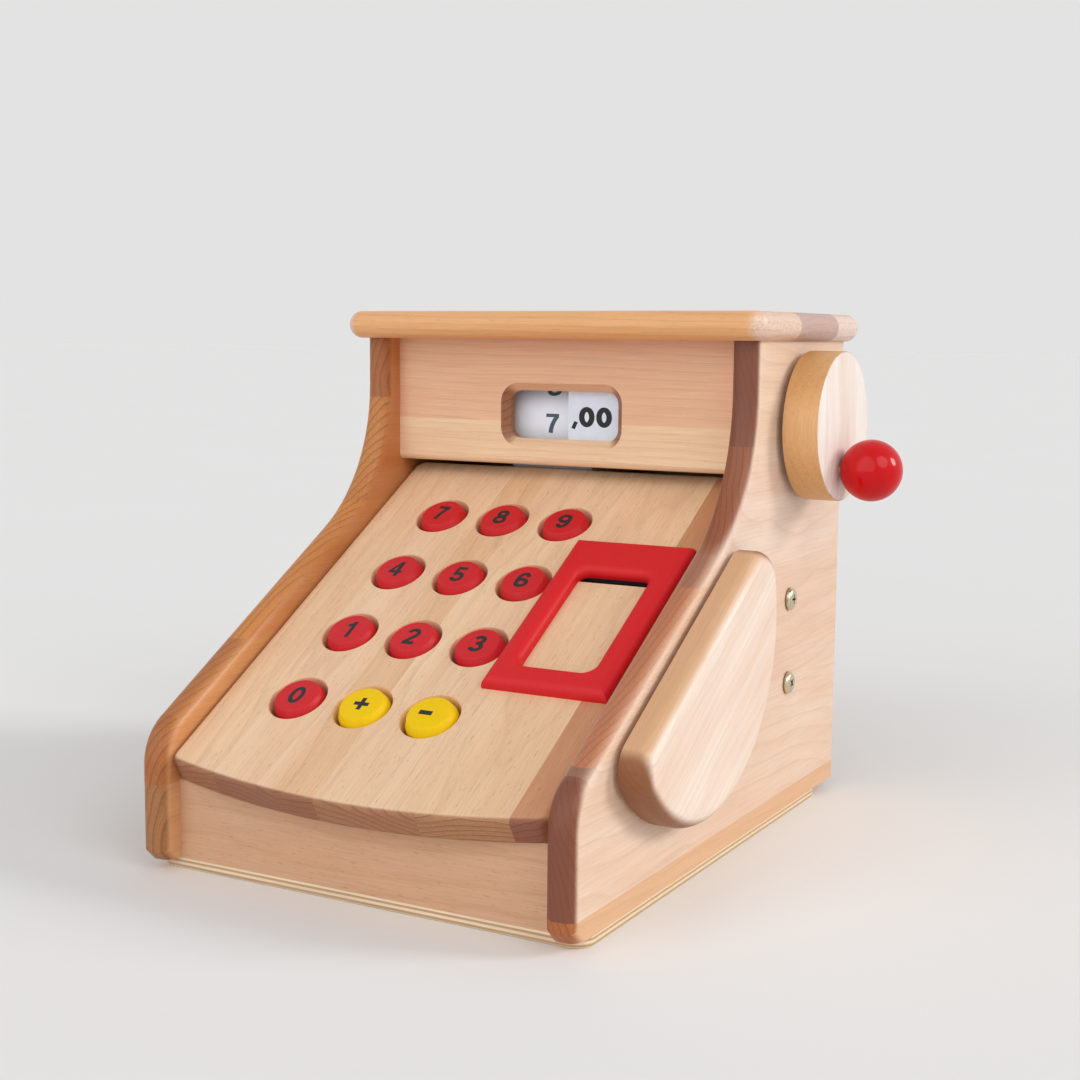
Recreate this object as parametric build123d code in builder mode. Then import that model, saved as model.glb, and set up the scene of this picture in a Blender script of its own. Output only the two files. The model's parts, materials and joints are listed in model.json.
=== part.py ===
from build123d import *
import os
from math import cos, radians, sin, sqrt, tan

# Wooden toy cash register: a case of glued boards, a lifting keyboard lid with twelve sprung
# keys, and a crank that turns the number drum behind the display window.
# Millimetres. X runs to the crank side, -Y to the front and +Z up. The origin is on the
# underside of the base, midway between the side panels.

# --- Stock ---------------------------------------------------------------------------------
board = 16.0            # solid boards: sides, top, front, keyboard, inner wall, swipe board
thin_board = 9.0        # display panel and back panel
ply = 6.0               # plywood: base, key backing, tray dividers
seat_gap = 0.3          # between a moving piece and what it rests on
slip = 0.08             # radial clearance of a shaft, pin or stem in its bore
glue_gap = 0.05         # radial clearance of a glued dowel or a screw

# --- Case ----------------------------------------------------------------------------------
case_width = 255.0      # over the two side panels
toe_y = -174.0          # front of the side panels' toes
back_y = 170.0          # back of the side panels
neck_y = 30.8           # front of the side panels beside the display
side_height = 270.6     # side panel, underside to top
neck_radius = 96.0      # hollow curve from neck to slope
toe_radius = 29.0       # round from slope to toe
toe_chamfer = 5.0       # lower front corner of a side panel
side_round = 6.5        # rounded-over front edges of the side panels
front_y = -160.8        # face of the front board and front edge of the base
base_back_y = 146.3     # back edge of the base
base_inset = 0.5        # base edge inside the side panels' outer faces
base_corner = 10.0      # plan radius of the base's corners
base_round = 2.0        # rounded lower edge of the base

# --- Slope that the keyboard lies on ---------------------------------------------------------
slope = radians(30.75)
display_y = 44.2        # face of the display panel
key_face_drop = 87.7    # keyboard's surface at that face, below the top board
rail_proud = 11.6       # side panels' sloping edges above the keyboard's surface

# --- Top, display and inner boards -----------------------------------------------------------
top_overhang = 7.8      # top board beyond each side panel
top_front_y = 17.2
top_back_y = 182.9
top_corner = 12.0       # plan radius of the top board's corners
display_height = 73.6
display_round = 4.0     # lower edge of the display panel
window_width = 71.0
window_height = 28.4
window_x = 0.4
window_drop = 44.2      # middle of the window below the top board
window_corner = 7.0
window_bevel = 4.4      # bevel round the window's mouth
plate_thick = 2.0       # fixed cents plate behind the right part of the window
plate_left_x = 1.0
plate_margin = 7.0      # plate beyond the window's edges
wall_y = 87.65          # middle of the inner wall behind the money tray
wall_height = 144.0
back_clear = 0.2        # between the base's edge and the back panel

# --- Money tray --------------------------------------------------------------------------------
tray_share = 0.7        # dividers' share of the front board's height
divider_x = 0.0
divider_y = -33.0
lap_clear = 0.1         # play of the two dividers' half-lap joint

# --- Keyboard lid ------------------------------------------------------------------------------
lid_side_gap = 1.0      # beside each side panel
lid_top_s = -23.5       # upper end, measured down the slope from the display's face
lid_front_s = 261.0     # foremost point of the bowed front edge
lid_bow = 11.7          # how far the front edge falls back at its ends
lid_corner = 7.5        # plan radius of the corners
lid_round = 3.2         # rounded-over edges
hinge_s = -10.0         # hinge pins
pin_radius = 3.0
pin_in_side = 10.0
pin_in_lid = 11.0
slot_s = 76.8           # card slot below the frame's top bar
slot_width = 4.0
slot_reach = 1.0        # slot beyond the left side of the frame's opening

# --- Keys --------------------------------------------------------------------------------------
key_names = ("7", "8", "9", "4", "5", "6", "1", "2", "3", "0", "plus", "minus")
key_columns = 3
key_margin_x = 47.1     # first column of keys from the lid's left edge
key_first_s = 31.5
key_pitch_x = 41.0
key_pitch_s = 54.3
key_hole_radius = 16.1
key_hole_bevel = 0.4
key_radius = 14.9
key_crown_radius = 11.7 # flat crown of the cap
key_shoulder = 4.2      # height of the cap's sloped shoulder
key_proud = 2.0         # crown above the keyboard
key_crown_soft = 1.0    # softened edges above and below the shoulder
key_skirt_soft = 2.0
key_flange_radius = 18.5
key_flange_thick = 4.0
key_stem_radius = 4.0
key_stem_out = 1.5      # stem below the backing board at rest
pad_thick = 8.0         # sponge rubber ring that pushes a key back up
pad_radius = 13.0
pad_hole_radius = 5.0
batten_width = 6.5
batten_margin = 1.4     # between a batten and the nearest key flange
backing_margin_s = 8.0  # backing board beyond the outer key flanges, along the slope

# --- Card frame ----------------------------------------------------------------------------------
frame_key_gap = 1.5     # between the last column of key holes and the frame
frame_margin = 3.2      # between the frame and the lid's right edge
frame_top_s = 49.5
frame_bottom_s = 170.5
frame_thick = 6.5
frame_round = 5.5
frame_bar_left = 13.8
frame_bar_right = 14.5
opening_bottom_s = 155.0
opening_corner = 6.5
opening_round = 4.5

# --- Swipe board on the right side ---------------------------------------------------------------
swipe_gap = 3.0         # card slot between the side panel and the board
swipe_radius = 91.0     # half disc
swipe_centre_s = 125.0
swipe_edge_h = 5.3      # straight edge above the plane of the keyboard
swipe_top_corner = 20.0
swipe_heel_corner = 15.0
swipe_round = 7.8
packer_inset = 6.0
swipe_depth = 34.0      # how deep a card goes into the slot

# --- Screws through the sides into the inner wall -------------------------------------------------
screw_heights = (80.7, 129.6)
screw_head_radius = 6.5
screw_head_height = 3.2
screw_head_round = 2.4
screw_radius = 2.5
screw_length = 40.0

# --- Crank, shaft and number drum ------------------------------------------------------------------
crank_y = 101.9
crank_drop = 47.8       # crank's axis below the top board
disc_radius = 44.0
disc_thick = 24.0
disc_gap = 2.3          # disc's inner face off the side panel
disc_round = 2.5
shaft_radius = 6.0
shaft_in_side = 10.0
shaft_in_disc = 12.0
washer_radius = 13.0
collar_radius = 12.0
collar_width = 10.0
drum_radius = 42.5
band_thick = 0.8        # printed band round the drum
drum_left_x = -46.0
drum_width = 54.0
knob_radius = 17.5
knob_seat = 16.5        # ball's centre off the disc's face, where the ball has a flat
knob_offset_y = -3.3    # ball's centre from the crank's axis
knob_offset_z = -24.1
peg_radius = 4.0
peg_in_disc = 12.0
peg_in_knob = 20.0

# --- Worked out from the sizes above -----------------------------------------------------------------
half_width = case_width / 2
inner_half = half_width - board
side_bottom = ply
side_top = side_bottom + side_height
display_bottom_z = side_top - display_height
window_z = side_top - window_drop
crank_z = side_top - crank_drop
key_face_z = side_top - key_face_drop
down_slope = Vector(0, -cos(slope), -sin(slope))
off_slope = Vector(0, -sin(slope), cos(slope))
slope_origin = Vector(0, display_y, key_face_z)
lid_half = inner_half - lid_side_gap
lid_rest_h = -board - seat_gap
hinge_h = -board / 2
flange_top_h = -board - seat_gap
pad_top_h = flange_top_h - key_flange_thick - seat_gap
pad_bottom_h = pad_top_h - pad_thick
backing_bottom_h = pad_bottom_h - ply
key_rows = len(key_names) // key_columns
key_first_x = -lid_half + key_margin_x
key_last_x = key_first_x + (key_columns - 1) * key_pitch_x
keys_left_x = key_first_x - key_flange_radius - batten_margin
keys_right_x = key_last_x + key_flange_radius + batten_margin
frame_left_x = key_last_x + key_hole_radius + frame_key_gap
frame_right_x = lid_half - frame_margin
opening_left_x = frame_left_x + frame_bar_left
opening_right_x = frame_right_x - frame_bar_right
slot_left_x = opening_left_x - slot_reach
backing_top_s = key_first_s - key_flange_radius - backing_margin_s
backing_bottom_s = key_first_s + (key_rows - 1) * key_pitch_s + key_flange_radius + backing_margin_s
disc_inner_x = half_width + disc_gap
disc_outer_x = disc_inner_x + disc_thick
knob_x = disc_outer_x + knob_seat
crank_axis = Axis((0, crank_y, crank_z), (1, 0, 0))


def slope_point(x, s, h):
    """Point at x, s down the slope from the display's face and h off the keyboard's surface."""
    return slope_origin + Vector(x, 0, 0) + down_slope * s + off_slope * h


def slope_plane(h):
    """Plane parallel to the keyboard's surface; local x is X and local y runs up the slope."""
    return Plane(origin=slope_point(0, 0, h), x_dir=(1, 0, 0), z_dir=off_slope)


def side_slope_plane(x):
    """Upright plane at x; local x runs down the slope and local y into the case."""
    return Plane(origin=slope_point(x, 0, 0), x_dir=down_slope, z_dir=(1, 0, 0))


def across(x):
    """Plane square to X at x; local x is Y and local y is Z."""
    return Plane.YZ.offset(x)


def facing_front(y):
    """Plane at y that faces the front; local x is X and local y is Z."""
    return Plane.XZ.offset(-y)


def slope_z(y, h):
    """Height of the plane h off the keyboard's surface, at y."""
    return key_face_z + (y - display_y) * tan(slope) + h / cos(slope)


def key_places():
    """Local x and y of each key's centre in slope_plane, in the order of key_names."""
    places = []
    for index in range(len(key_names)):
        row, column = divmod(index, key_columns)
        places.append((key_first_x + column * key_pitch_x, -key_first_s - row * key_pitch_s))
    return places


def save(builder, name):
    """Label the finished piece and write its STEP file."""
    builder.part.label = name
    export_step(builder.part, "parts/" + name + ".step")


# --- Base, a plate of plywood under the whole case ------------------------------------------------
base_length = base_back_y - front_y
with BuildPart() as base_plate:
    with BuildSketch(Plane.XY):
        with Locations((0, front_y + base_length / 2)):
            RectangleRounded(case_width - 2 * base_inset, base_length, base_corner)
    extrude(amount=ply)
    fillet(base_plate.faces().sort_by(Axis.Z)[0].edges(), radius=base_round)
save(base_plate, "base_plate")


# --- Side panels ------------------------------------------------------------------------------------
def side_panel(outer_x, inward):
    """One side panel: outer_x is its outer face and inward the direction of the other panel."""
    inner_x = outer_x + inward * board
    low_x = min(outer_x, inner_x)
    neck_corner = (neck_y, slope_z(neck_y, rail_proud))
    toe_corner = (toe_y, slope_z(toe_y, rail_proud))
    hinge = slope_point(inner_x, hinge_s, hinge_h)
    with BuildPart() as panel:
        with BuildSketch(across(low_x)) as profile:
            with BuildLine():
                Polyline(
                    (back_y, side_bottom),
                    (back_y, side_top),
                    (neck_y, side_top),
                    neck_corner,
                    toe_corner,
                    (toe_y, side_bottom + toe_chamfer),
                    (toe_y + toe_chamfer, side_bottom),
                    close=True,
                )
            make_face()
            fillet(profile.vertices().sort_by_distance(neck_corner)[0], radius=neck_radius)
            fillet(profile.vertices().sort_by_distance(toe_corner)[0], radius=toe_radius)
        extrude(amount=board)
        front = panel.edges().filter_by(
            lambda e: e.center().Y < neck_y + 1
            and side_bottom < e.center().Z < side_top
            and abs(e.tangent_at(0.5).X) < 0.5
        )
        wide_front = front.filter_by(
            lambda e: abs(abs(e.center().X) - half_width) < 0.01
            or abs(abs(e.center().X) - inner_half) < 0.01
        )
        fillet(wide_front, radius=side_round)
        # bore for the hinge pin, blind from the inner face
        with BuildSketch(Plane(origin=hinge, x_dir=(0, 1, 0), z_dir=(1, 0, 0))):
            Circle(pin_radius + glue_gap)
        extrude(amount=-inward * (pin_in_side + lap_clear), mode=Mode.SUBTRACT)
        # bearing for the crank's shaft: through on the crank side, blind on the other
        with BuildSketch(Plane(origin=(inner_x, crank_y, crank_z), x_dir=(0, 1, 0), z_dir=(1, 0, 0))):
            Circle(shaft_radius + slip)
        bearing_depth = board if inward < 0 else shaft_in_side + lap_clear
        extrude(amount=-inward * bearing_depth, mode=Mode.SUBTRACT)
        # clearance holes for the screws into the inner wall
        for height in screw_heights:
            with BuildSketch(Plane(origin=(outer_x, wall_y, height), x_dir=(0, 1, 0), z_dir=(1, 0, 0))):
                Circle(screw_radius + glue_gap)
            extrude(amount=inward * board, mode=Mode.SUBTRACT)
    return panel


side_left = side_panel(-half_width, 1)
save(side_left, "side_left")
side_right = side_panel(half_width, -1)
save(side_right, "side_right")

# --- Top board, bullnosed all round -------------------------------------------------------------------
top_depth = top_back_y - top_front_y
with BuildPart() as top_board:
    with BuildSketch(Plane.XY.offset(side_top)):
        with Locations((0, top_front_y + top_depth / 2)):
            RectangleRounded(case_width + 2 * top_overhang, top_depth, top_corner)
    extrude(amount=board)
    rims = top_board.faces().filter_by(Axis.Z)
    fillet(rims.edges(), radius=board / 2 - glue_gap)
save(top_board, "top_board")

# --- Front board, its top edge bevelled to carry the closed lid ------------------------------------------
front_back_y = front_y + board
with BuildPart() as front_board:
    with BuildSketch(across(-inner_half)):
        with BuildLine():
            Polyline(
                (front_y, side_bottom),
                (front_back_y, side_bottom),
                (front_back_y, slope_z(front_back_y, lid_rest_h)),
                (front_y, slope_z(front_y, lid_rest_h)),
                close=True,
            )
        make_face()
    extrude(amount=2 * inner_half)
save(front_board, "front_board")

# --- Display panel with its rounded window ------------------------------------------------------------------
with BuildPart() as display_panel:
    with BuildSketch(facing_front(display_y)):
        with Locations((0, display_bottom_z + display_height / 2)):
            Rectangle(2 * inner_half, display_height)
        with Locations((window_x, window_z)):
            RectangleRounded(window_width, window_height, window_corner, mode=Mode.SUBTRACT)
    extrude(amount=-thin_board)
    face = display_panel.faces().sort_by(Axis.Y)[0]
    fillet(face.outer_wire().edges().sort_by(Axis.Z)[0], radius=display_round)
    face = display_panel.faces().sort_by(Axis.Y)[0]
    chamfer(face.inner_wires().edges(), length=window_bevel)
save(display_panel, "display_panel")

# --- Cents plate, glued behind the right part of the window ----------------------------------------------------
plate_right_x = window_x + window_width / 2 + plate_margin
with BuildPart() as cents_plate:
    with BuildSketch(facing_front(display_y + thin_board)):
        with Locations(((plate_left_x + plate_right_x) / 2, window_z)):
            Rectangle(plate_right_x - plate_left_x, window_height + 2 * plate_margin)
    extrude(amount=-plate_thick)
save(cents_plate, "cents_plate")

# --- Back panel and the inner wall behind the tray -----------------------------------------------------------------
with BuildPart() as back_panel:
    with BuildSketch(facing_front(base_back_y + back_clear)):
        with Locations((0, side_bottom + side_height / 2)):
            Rectangle(2 * inner_half, side_height)
    extrude(amount=-thin_board)
save(back_panel, "back_panel")

wall_front_y = wall_y - board / 2
with BuildPart() as inner_wall:
    with BuildSketch(facing_front(wall_front_y)):
        with Locations((0, side_bottom + wall_height / 2)):
            Rectangle(2 * inner_half, wall_height)
    extrude(amount=-board)
    for side in (-1, 1):
        for height in screw_heights:
            with BuildSketch(Plane(origin=(side * inner_half, wall_y, height), z_dir=(side, 0, 0))):
                Circle(screw_radius + glue_gap)
            extrude(amount=board - screw_length - lap_clear, mode=Mode.SUBTRACT)
save(inner_wall, "inner_wall")

# --- Tray dividers, half-lapped where they cross ---------------------------------------------------------------------
tray_length = wall_front_y - front_back_y
tray_divider_height = tray_share * (slope_z(front_y, lid_rest_h) - side_bottom)
lap_width = ply + 2 * lap_clear
lap_height = tray_divider_height / 2 + lap_clear
tray_top = side_bottom + tray_divider_height
with BuildPart() as tray_divider_long:
    with BuildSketch(across(divider_x - ply / 2)):
        with Locations((front_back_y + tray_length / 2, side_bottom + tray_divider_height / 2)):
            Rectangle(tray_length, tray_divider_height)
        with Locations((divider_y, tray_top - lap_height / 2)):
            Rectangle(lap_width, lap_height, mode=Mode.SUBTRACT)
    extrude(amount=ply)
save(tray_divider_long, "tray_divider_long")

with BuildPart() as tray_divider_cross:
    with BuildSketch(facing_front(divider_y - ply / 2)):
        with Locations((0, side_bottom + tray_divider_height / 2)):
            Rectangle(2 * inner_half, tray_divider_height)
        with Locations((divider_x, side_bottom + lap_height / 2)):
            Rectangle(lap_width, lap_height, mode=Mode.SUBTRACT)
    extrude(amount=-ply)
save(tray_divider_cross, "tray_divider_cross")


# --- Swipe board: a half disc held off the right side panel by a packer ----------------------------------------------
def half_disc(plane, radius, edge, top_corner, heel_corner, thick):
    """Half disc on the swipe board's centre, its straight edge at edge, with rounded corners."""
    centre = (swipe_centre_s, -swipe_edge_h)
    reach = sqrt(radius**2 - edge**2)
    with BuildPart() as disc:
        with BuildSketch(plane) as outline:
            with Locations(centre):
                Circle(radius)
            with Locations((centre[0], centre[1] + edge + radius)):
                Rectangle(2 * radius, 2 * radius, mode=Mode.INTERSECT)
            top_tip = (centre[0] - reach, centre[1] + edge)
            heel_tip = (centre[0] + reach, centre[1] + edge)
            fillet(outline.vertices().sort_by_distance(top_tip)[0], radius=top_corner)
            fillet(outline.vertices().sort_by_distance(heel_tip)[0], radius=heel_corner)
        extrude(amount=thick)
    return disc


swipe_blank = half_disc(
    side_slope_plane(half_width + swipe_gap), swipe_radius, 0, swipe_top_corner, swipe_heel_corner, board
)
with BuildPart() as swipe_board:
    add(swipe_blank.part)
    fillet(swipe_board.faces().sort_by(Axis.X)[-1].edges(), radius=swipe_round)
save(swipe_board, "swipe_board")

swipe_packer = half_disc(
    side_slope_plane(half_width),
    swipe_radius - packer_inset,
    swipe_depth,
    packer_inset,
    packer_inset,
    swipe_gap,
)
save(swipe_packer, "swipe_packer")


# --- Screws through the side panels -------------------------------------------------------------------------------------
def side_screws(side):
    """The screws of one side, side is +1 on the crank side: one solid each."""
    with BuildPart() as screws:
        for height in screw_heights:
            seat = (side * half_width, wall_y, height)
            with BuildSketch(Plane(origin=seat, x_dir=(0, 0, 1), z_dir=(0, side, 0))):
                with BuildLine():
                    head = Polyline(
                        (-screw_radius, 0),
                        (-screw_head_radius, 0),
                        (-screw_head_radius, screw_head_height - screw_head_round),
                    )
                    dome = Line(
                        (0, screw_head_height),
                        (-screw_head_radius + screw_head_round, screw_head_height),
                    )
                    RadiusArc(head @ 1, dome @ 1, screw_head_round)
                    Polyline(
                        dome @ 0,
                        (0, -screw_length),
                        (-screw_radius, -screw_length + screw_radius),
                        head @ 0,
                    )
                make_face()
            revolve(axis=Axis(seat, (side, 0, 0)))
    return screws


side_screws_right = side_screws(1)
save(side_screws_right, "side_screws_right")
side_screws_left = side_screws(-1)
save(side_screws_left, "side_screws_left")

# --- Hinge pins of the lid, glued into the side panels --------------------------------------------------------------------
with BuildPart() as lid_pins:
    for side in (-1, 1):
        start = slope_point(side * (inner_half + pin_in_side), hinge_s, hinge_h)
        with BuildSketch(Plane(origin=start, x_dir=(0, 1, 0), z_dir=(-side, 0, 0))):
            Circle(pin_radius)
        extrude(amount=pin_in_side + lid_side_gap + pin_in_lid)
save(lid_pins, "lid_pins")

# --- Keyboard lid: bowed front edge, key holes, card slot and hinge bores --------------------------------------------------
with BuildPart() as keyboard_lid:
    with BuildSketch(slope_plane(-board)) as plan:
        with BuildLine():
            back = Polyline(
                (-lid_half, -lid_front_s + lid_bow),
                (-lid_half, -lid_top_s),
                (lid_half, -lid_top_s),
                (lid_half, -lid_front_s + lid_bow),
            )
            ThreePointArc(back @ 1, (0, -lid_front_s), back @ 0)
        make_face()
        fillet(plan.vertices(), radius=lid_corner)
    extrude(amount=board)
    rims = keyboard_lid.faces().filter_by(Plane(origin=(0, 0, 0), z_dir=off_slope))
    fillet(rims.edges(), radius=lid_round)
    with BuildSketch(slope_plane(0)):
        with Locations(*key_places()):
            Circle(key_hole_radius)
    extrude(amount=-board, mode=Mode.SUBTRACT)
    surface = keyboard_lid.faces().sort_by(Axis(slope_origin, off_slope))[-1]
    chamfer(surface.inner_wires().edges(), length=key_hole_bevel)
    with BuildSketch(slope_plane(0)):
        with Locations(((slot_left_x + lid_half + lid_side_gap) / 2, -slot_s - slot_width / 2)):
            Rectangle(lid_half + lid_side_gap - slot_left_x, slot_width)
    extrude(amount=-board, mode=Mode.SUBTRACT)
    for side in (-1, 1):
        mouth_centre = slope_point(side * lid_half, hinge_s, hinge_h)
        with BuildSketch(Plane(origin=mouth_centre, x_dir=(0, 1, 0), z_dir=(-side, 0, 0))):
            Circle(pin_radius + slip)
        extrude(amount=pin_in_lid + lap_clear, mode=Mode.SUBTRACT)
save(keyboard_lid, "keyboard_lid")

# --- Card frame on the lid -----------------------------------------------------------------------------------------------------
frame_width = frame_right_x - frame_left_x
frame_length = frame_bottom_s - frame_top_s
with BuildPart() as card_frame:
    frame_end = slope_point((frame_left_x + frame_right_x) / 2, frame_top_s, 0)
    with BuildSketch(Plane(origin=frame_end, x_dir=(1, 0, 0), z_dir=down_slope)) as bar:
        with Locations((0, frame_thick / 2)):
            Rectangle(frame_width, frame_thick)
        fillet(bar.vertices().group_by(Axis.Y)[-1], radius=frame_round)
    extrude(amount=frame_length)
    with BuildSketch(side_slope_plane(frame_left_x)) as flank:
        with Locations(((frame_top_s + frame_bottom_s) / 2, -frame_thick / 2)):
            Rectangle(frame_length, frame_thick)
        fillet(flank.vertices().group_by(Axis.Y)[0], radius=frame_round)
    extrude(amount=frame_width, mode=Mode.INTERSECT)
    with BuildSketch(slope_plane(0)):
        with Locations(((opening_left_x + opening_right_x) / 2, -(slot_s + opening_bottom_s) / 2)):
            RectangleRounded(
                opening_right_x - opening_left_x, opening_bottom_s - slot_s, opening_corner
            )
    extrude(amount=frame_thick, mode=Mode.SUBTRACT)
    upper = card_frame.faces().sort_by(Axis(slope_origin, off_slope))[-1]
    fillet(upper.inner_wires().edges(), radius=opening_round)
save(card_frame, "card_frame")


# --- Keys: turned caps with a flange under the lid and a guide stem ----------------------------------------------------------------
def key(place):
    """One key at its place in slope_plane, as a turned solid."""
    centre = slope_point(place[0], -place[1], 0)
    flange_bottom_h = flange_top_h - key_flange_thick
    stem_end_h = backing_bottom_h - key_stem_out
    with BuildPart() as turned:
        with BuildSketch(Plane(origin=centre, x_dir=(1, 0, 0), z_dir=down_slope)) as profile:
            with BuildLine():
                Polyline(
                    (0, key_proud),
                    (key_crown_radius, key_proud),
                    (key_radius, key_proud - key_shoulder),
                    (key_radius, flange_top_h),
                    (key_flange_radius, flange_top_h),
                    (key_flange_radius, flange_bottom_h),
                    (key_stem_radius, flange_bottom_h),
                    (key_stem_radius, stem_end_h),
                    (0, stem_end_h),
                    close=True,
                )
            make_face()
            rim = (key_crown_radius, key_proud)
            fillet(profile.vertices().sort_by_distance(rim)[0], radius=key_crown_soft)
            skirt = (key_radius, key_proud - key_shoulder)
            fillet(profile.vertices().sort_by_distance(skirt)[0], radius=key_skirt_soft)
        revolve(axis=Axis(centre, off_slope))
    return turned


for name, place in zip(key_names, key_places()):
    save(key(place), "key_" + name)

# --- Battens, backing board and sponge rings under the keys ------------------------------------------------------------------------------
backing_length = backing_bottom_s - backing_top_s
backing_mid = -(backing_top_s + backing_bottom_s) / 2
for side, inner_x in (("left", keys_left_x - batten_width / 2), ("right", keys_right_x + batten_width / 2)):
    with BuildPart() as batten:
        with BuildSketch(slope_plane(pad_bottom_h)):
            with Locations((inner_x, backing_mid)):
                Rectangle(batten_width, backing_length)
        extrude(amount=-board - pad_bottom_h)
    save(batten, "key_batten_" + side)

backing_width = keys_right_x - keys_left_x + 2 * batten_width
with BuildPart() as key_backing:
    with BuildSketch(slope_plane(backing_bottom_h)):
        with Locations(((keys_left_x + keys_right_x) / 2, backing_mid)):
            Rectangle(backing_width, backing_length)
        with Locations(*key_places()):
            Circle(key_stem_radius + slip, mode=Mode.SUBTRACT)
    extrude(amount=ply)
save(key_backing, "key_backing")

for name, place in zip(key_names, key_places()):
    with BuildPart() as pad:
        with BuildSketch(slope_plane(pad_bottom_h)):
            with Locations(place):
                Circle(pad_radius)
                Circle(pad_hole_radius, mode=Mode.SUBTRACT)
        extrude(amount=pad_thick)
    save(pad, "key_pad_" + name)


# --- Crank: disc, ball knob on its peg, shaft, and the drum with its printed band -------------------------------------------------------
def cylinder(x_start, x_end, radius, bore=0.0, y=crank_y, z=crank_z):
    """Turned piece along X, with an optional through bore."""
    with BuildPart() as turned:
        with BuildSketch(Plane(origin=(x_start, y, z), x_dir=(0, 1, 0), z_dir=(1, 0, 0))):
            Circle(radius)
            if bore > 0:
                Circle(bore, mode=Mode.SUBTRACT)
        extrude(amount=x_end - x_start)
    return turned


knob_y = crank_y + knob_offset_y
knob_z = crank_z + knob_offset_z
peg_bottom_x = disc_outer_x - peg_in_disc
with BuildPart() as crank_disc:
    add(cylinder(disc_inner_x, disc_outer_x, disc_radius).part)
    fillet(crank_disc.edges().filter_by(GeomType.CIRCLE), radius=disc_round)
    add(
        cylinder(disc_inner_x, disc_inner_x + shaft_in_disc + lap_clear, shaft_radius + glue_gap).part,
        mode=Mode.SUBTRACT,
    )
    add(
        cylinder(
            peg_bottom_x - lap_clear, disc_outer_x, peg_radius + glue_gap, y=knob_y, z=knob_z
        ).part,
        mode=Mode.SUBTRACT,
    )
save(crank_disc, "crank_disc")

peg_end_x = disc_outer_x + peg_in_knob
crank_peg = cylinder(peg_bottom_x, peg_end_x, peg_radius, y=knob_y, z=knob_z)
save(crank_peg, "crank_peg")

with BuildPart() as crank_knob:
    with BuildSketch(Plane(origin=(knob_x, knob_y, knob_z))):
        Circle(knob_radius)
        with Locations((0, -knob_radius)):
            Rectangle(2 * knob_radius, 2 * knob_radius, mode=Mode.SUBTRACT)
        with Locations((glue_gap - knob_seat - knob_radius, 0)):
            Rectangle(2 * knob_radius, 2 * knob_radius, mode=Mode.SUBTRACT)
    revolve(axis=Axis((knob_x, knob_y, knob_z), (1, 0, 0)))
    add(
        cylinder(
            disc_outer_x, peg_end_x + lap_clear, peg_radius + glue_gap, y=knob_y, z=knob_z
        ).part,
        mode=Mode.SUBTRACT,
    )
save(crank_knob, "crank_knob")

crank_shaft = cylinder(-inner_half - shaft_in_side, disc_inner_x + shaft_in_disc, shaft_radius)
save(crank_shaft, "crank_shaft")

crank_washer = cylinder(half_width, disc_inner_x - seat_gap, washer_radius, shaft_radius + slip)
save(crank_washer, "crank_washer")

collar_end_x = inner_half - seat_gap
shaft_collar = cylinder(
    collar_end_x - collar_width, collar_end_x, collar_radius, shaft_radius + glue_gap
)
save(shaft_collar, "shaft_collar")

drum_right_x = drum_left_x + drum_width
core_radius = drum_radius - band_thick - glue_gap
number_drum = cylinder(drum_left_x, drum_right_x, core_radius, shaft_radius + glue_gap)
save(number_drum, "number_drum")

number_band = cylinder(drum_left_x, drum_right_x, drum_radius, drum_radius - band_thick)
save(number_band, "number_band")
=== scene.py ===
"""Looks of a wooden play till: boards, lacquered keys, crank, number drum and screws.

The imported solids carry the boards. The turned, printed and soft pieces are made here and
ride on the bodies they belong to. Places are in metres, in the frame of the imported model.
The classes hold their sizes in millimetres.
"""

import json
import logging
import math
from abc import ABC, abstractmethod
from dataclasses import dataclass, field, replace
from enum import Enum
from typing import ClassVar, Iterable, Mapping, Optional, Sequence, Union

import bmesh
import bpy
from mathutils import Matrix, Vector

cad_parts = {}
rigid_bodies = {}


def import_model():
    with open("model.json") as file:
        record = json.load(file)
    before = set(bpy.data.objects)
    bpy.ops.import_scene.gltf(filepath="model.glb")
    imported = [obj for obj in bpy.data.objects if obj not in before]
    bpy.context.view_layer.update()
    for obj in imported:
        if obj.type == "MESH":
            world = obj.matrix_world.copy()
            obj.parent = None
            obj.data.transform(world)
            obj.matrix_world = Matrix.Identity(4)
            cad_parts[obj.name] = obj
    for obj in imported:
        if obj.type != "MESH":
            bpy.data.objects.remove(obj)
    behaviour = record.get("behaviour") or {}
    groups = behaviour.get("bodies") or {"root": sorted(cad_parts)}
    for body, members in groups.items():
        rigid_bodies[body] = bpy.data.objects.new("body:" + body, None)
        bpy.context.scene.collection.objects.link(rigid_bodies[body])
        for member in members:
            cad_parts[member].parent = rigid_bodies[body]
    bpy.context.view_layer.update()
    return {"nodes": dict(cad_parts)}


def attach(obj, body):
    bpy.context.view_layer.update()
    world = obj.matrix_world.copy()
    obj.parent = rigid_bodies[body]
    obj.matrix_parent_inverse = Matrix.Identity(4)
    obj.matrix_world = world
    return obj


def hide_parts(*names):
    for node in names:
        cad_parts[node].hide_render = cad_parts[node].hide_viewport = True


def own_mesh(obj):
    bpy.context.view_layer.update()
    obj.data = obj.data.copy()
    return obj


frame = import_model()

LOG = logging.getLogger("till")
MM = 0.001
TO_MM = 1000.0

ORIGIN = Vector((0.0, 0.0, 0.0))
RIGHT = Vector((1.0, 0.0, 0.0))
UP = Vector((0.0, 0.0, 1.0))

# the keyboard's surface: its angle, the way down it, the way off it, and its upper edge
SLOPE = math.radians(30.75)
DOWN = Vector((0.0, -math.cos(SLOPE), -math.sin(SLOPE)))
OFF = Vector((0.0, -math.sin(SLOPE), math.cos(SLOPE)))
SLOPE_ORIGIN = Vector((0.0, 44.2, 188.9)) * MM

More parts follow.
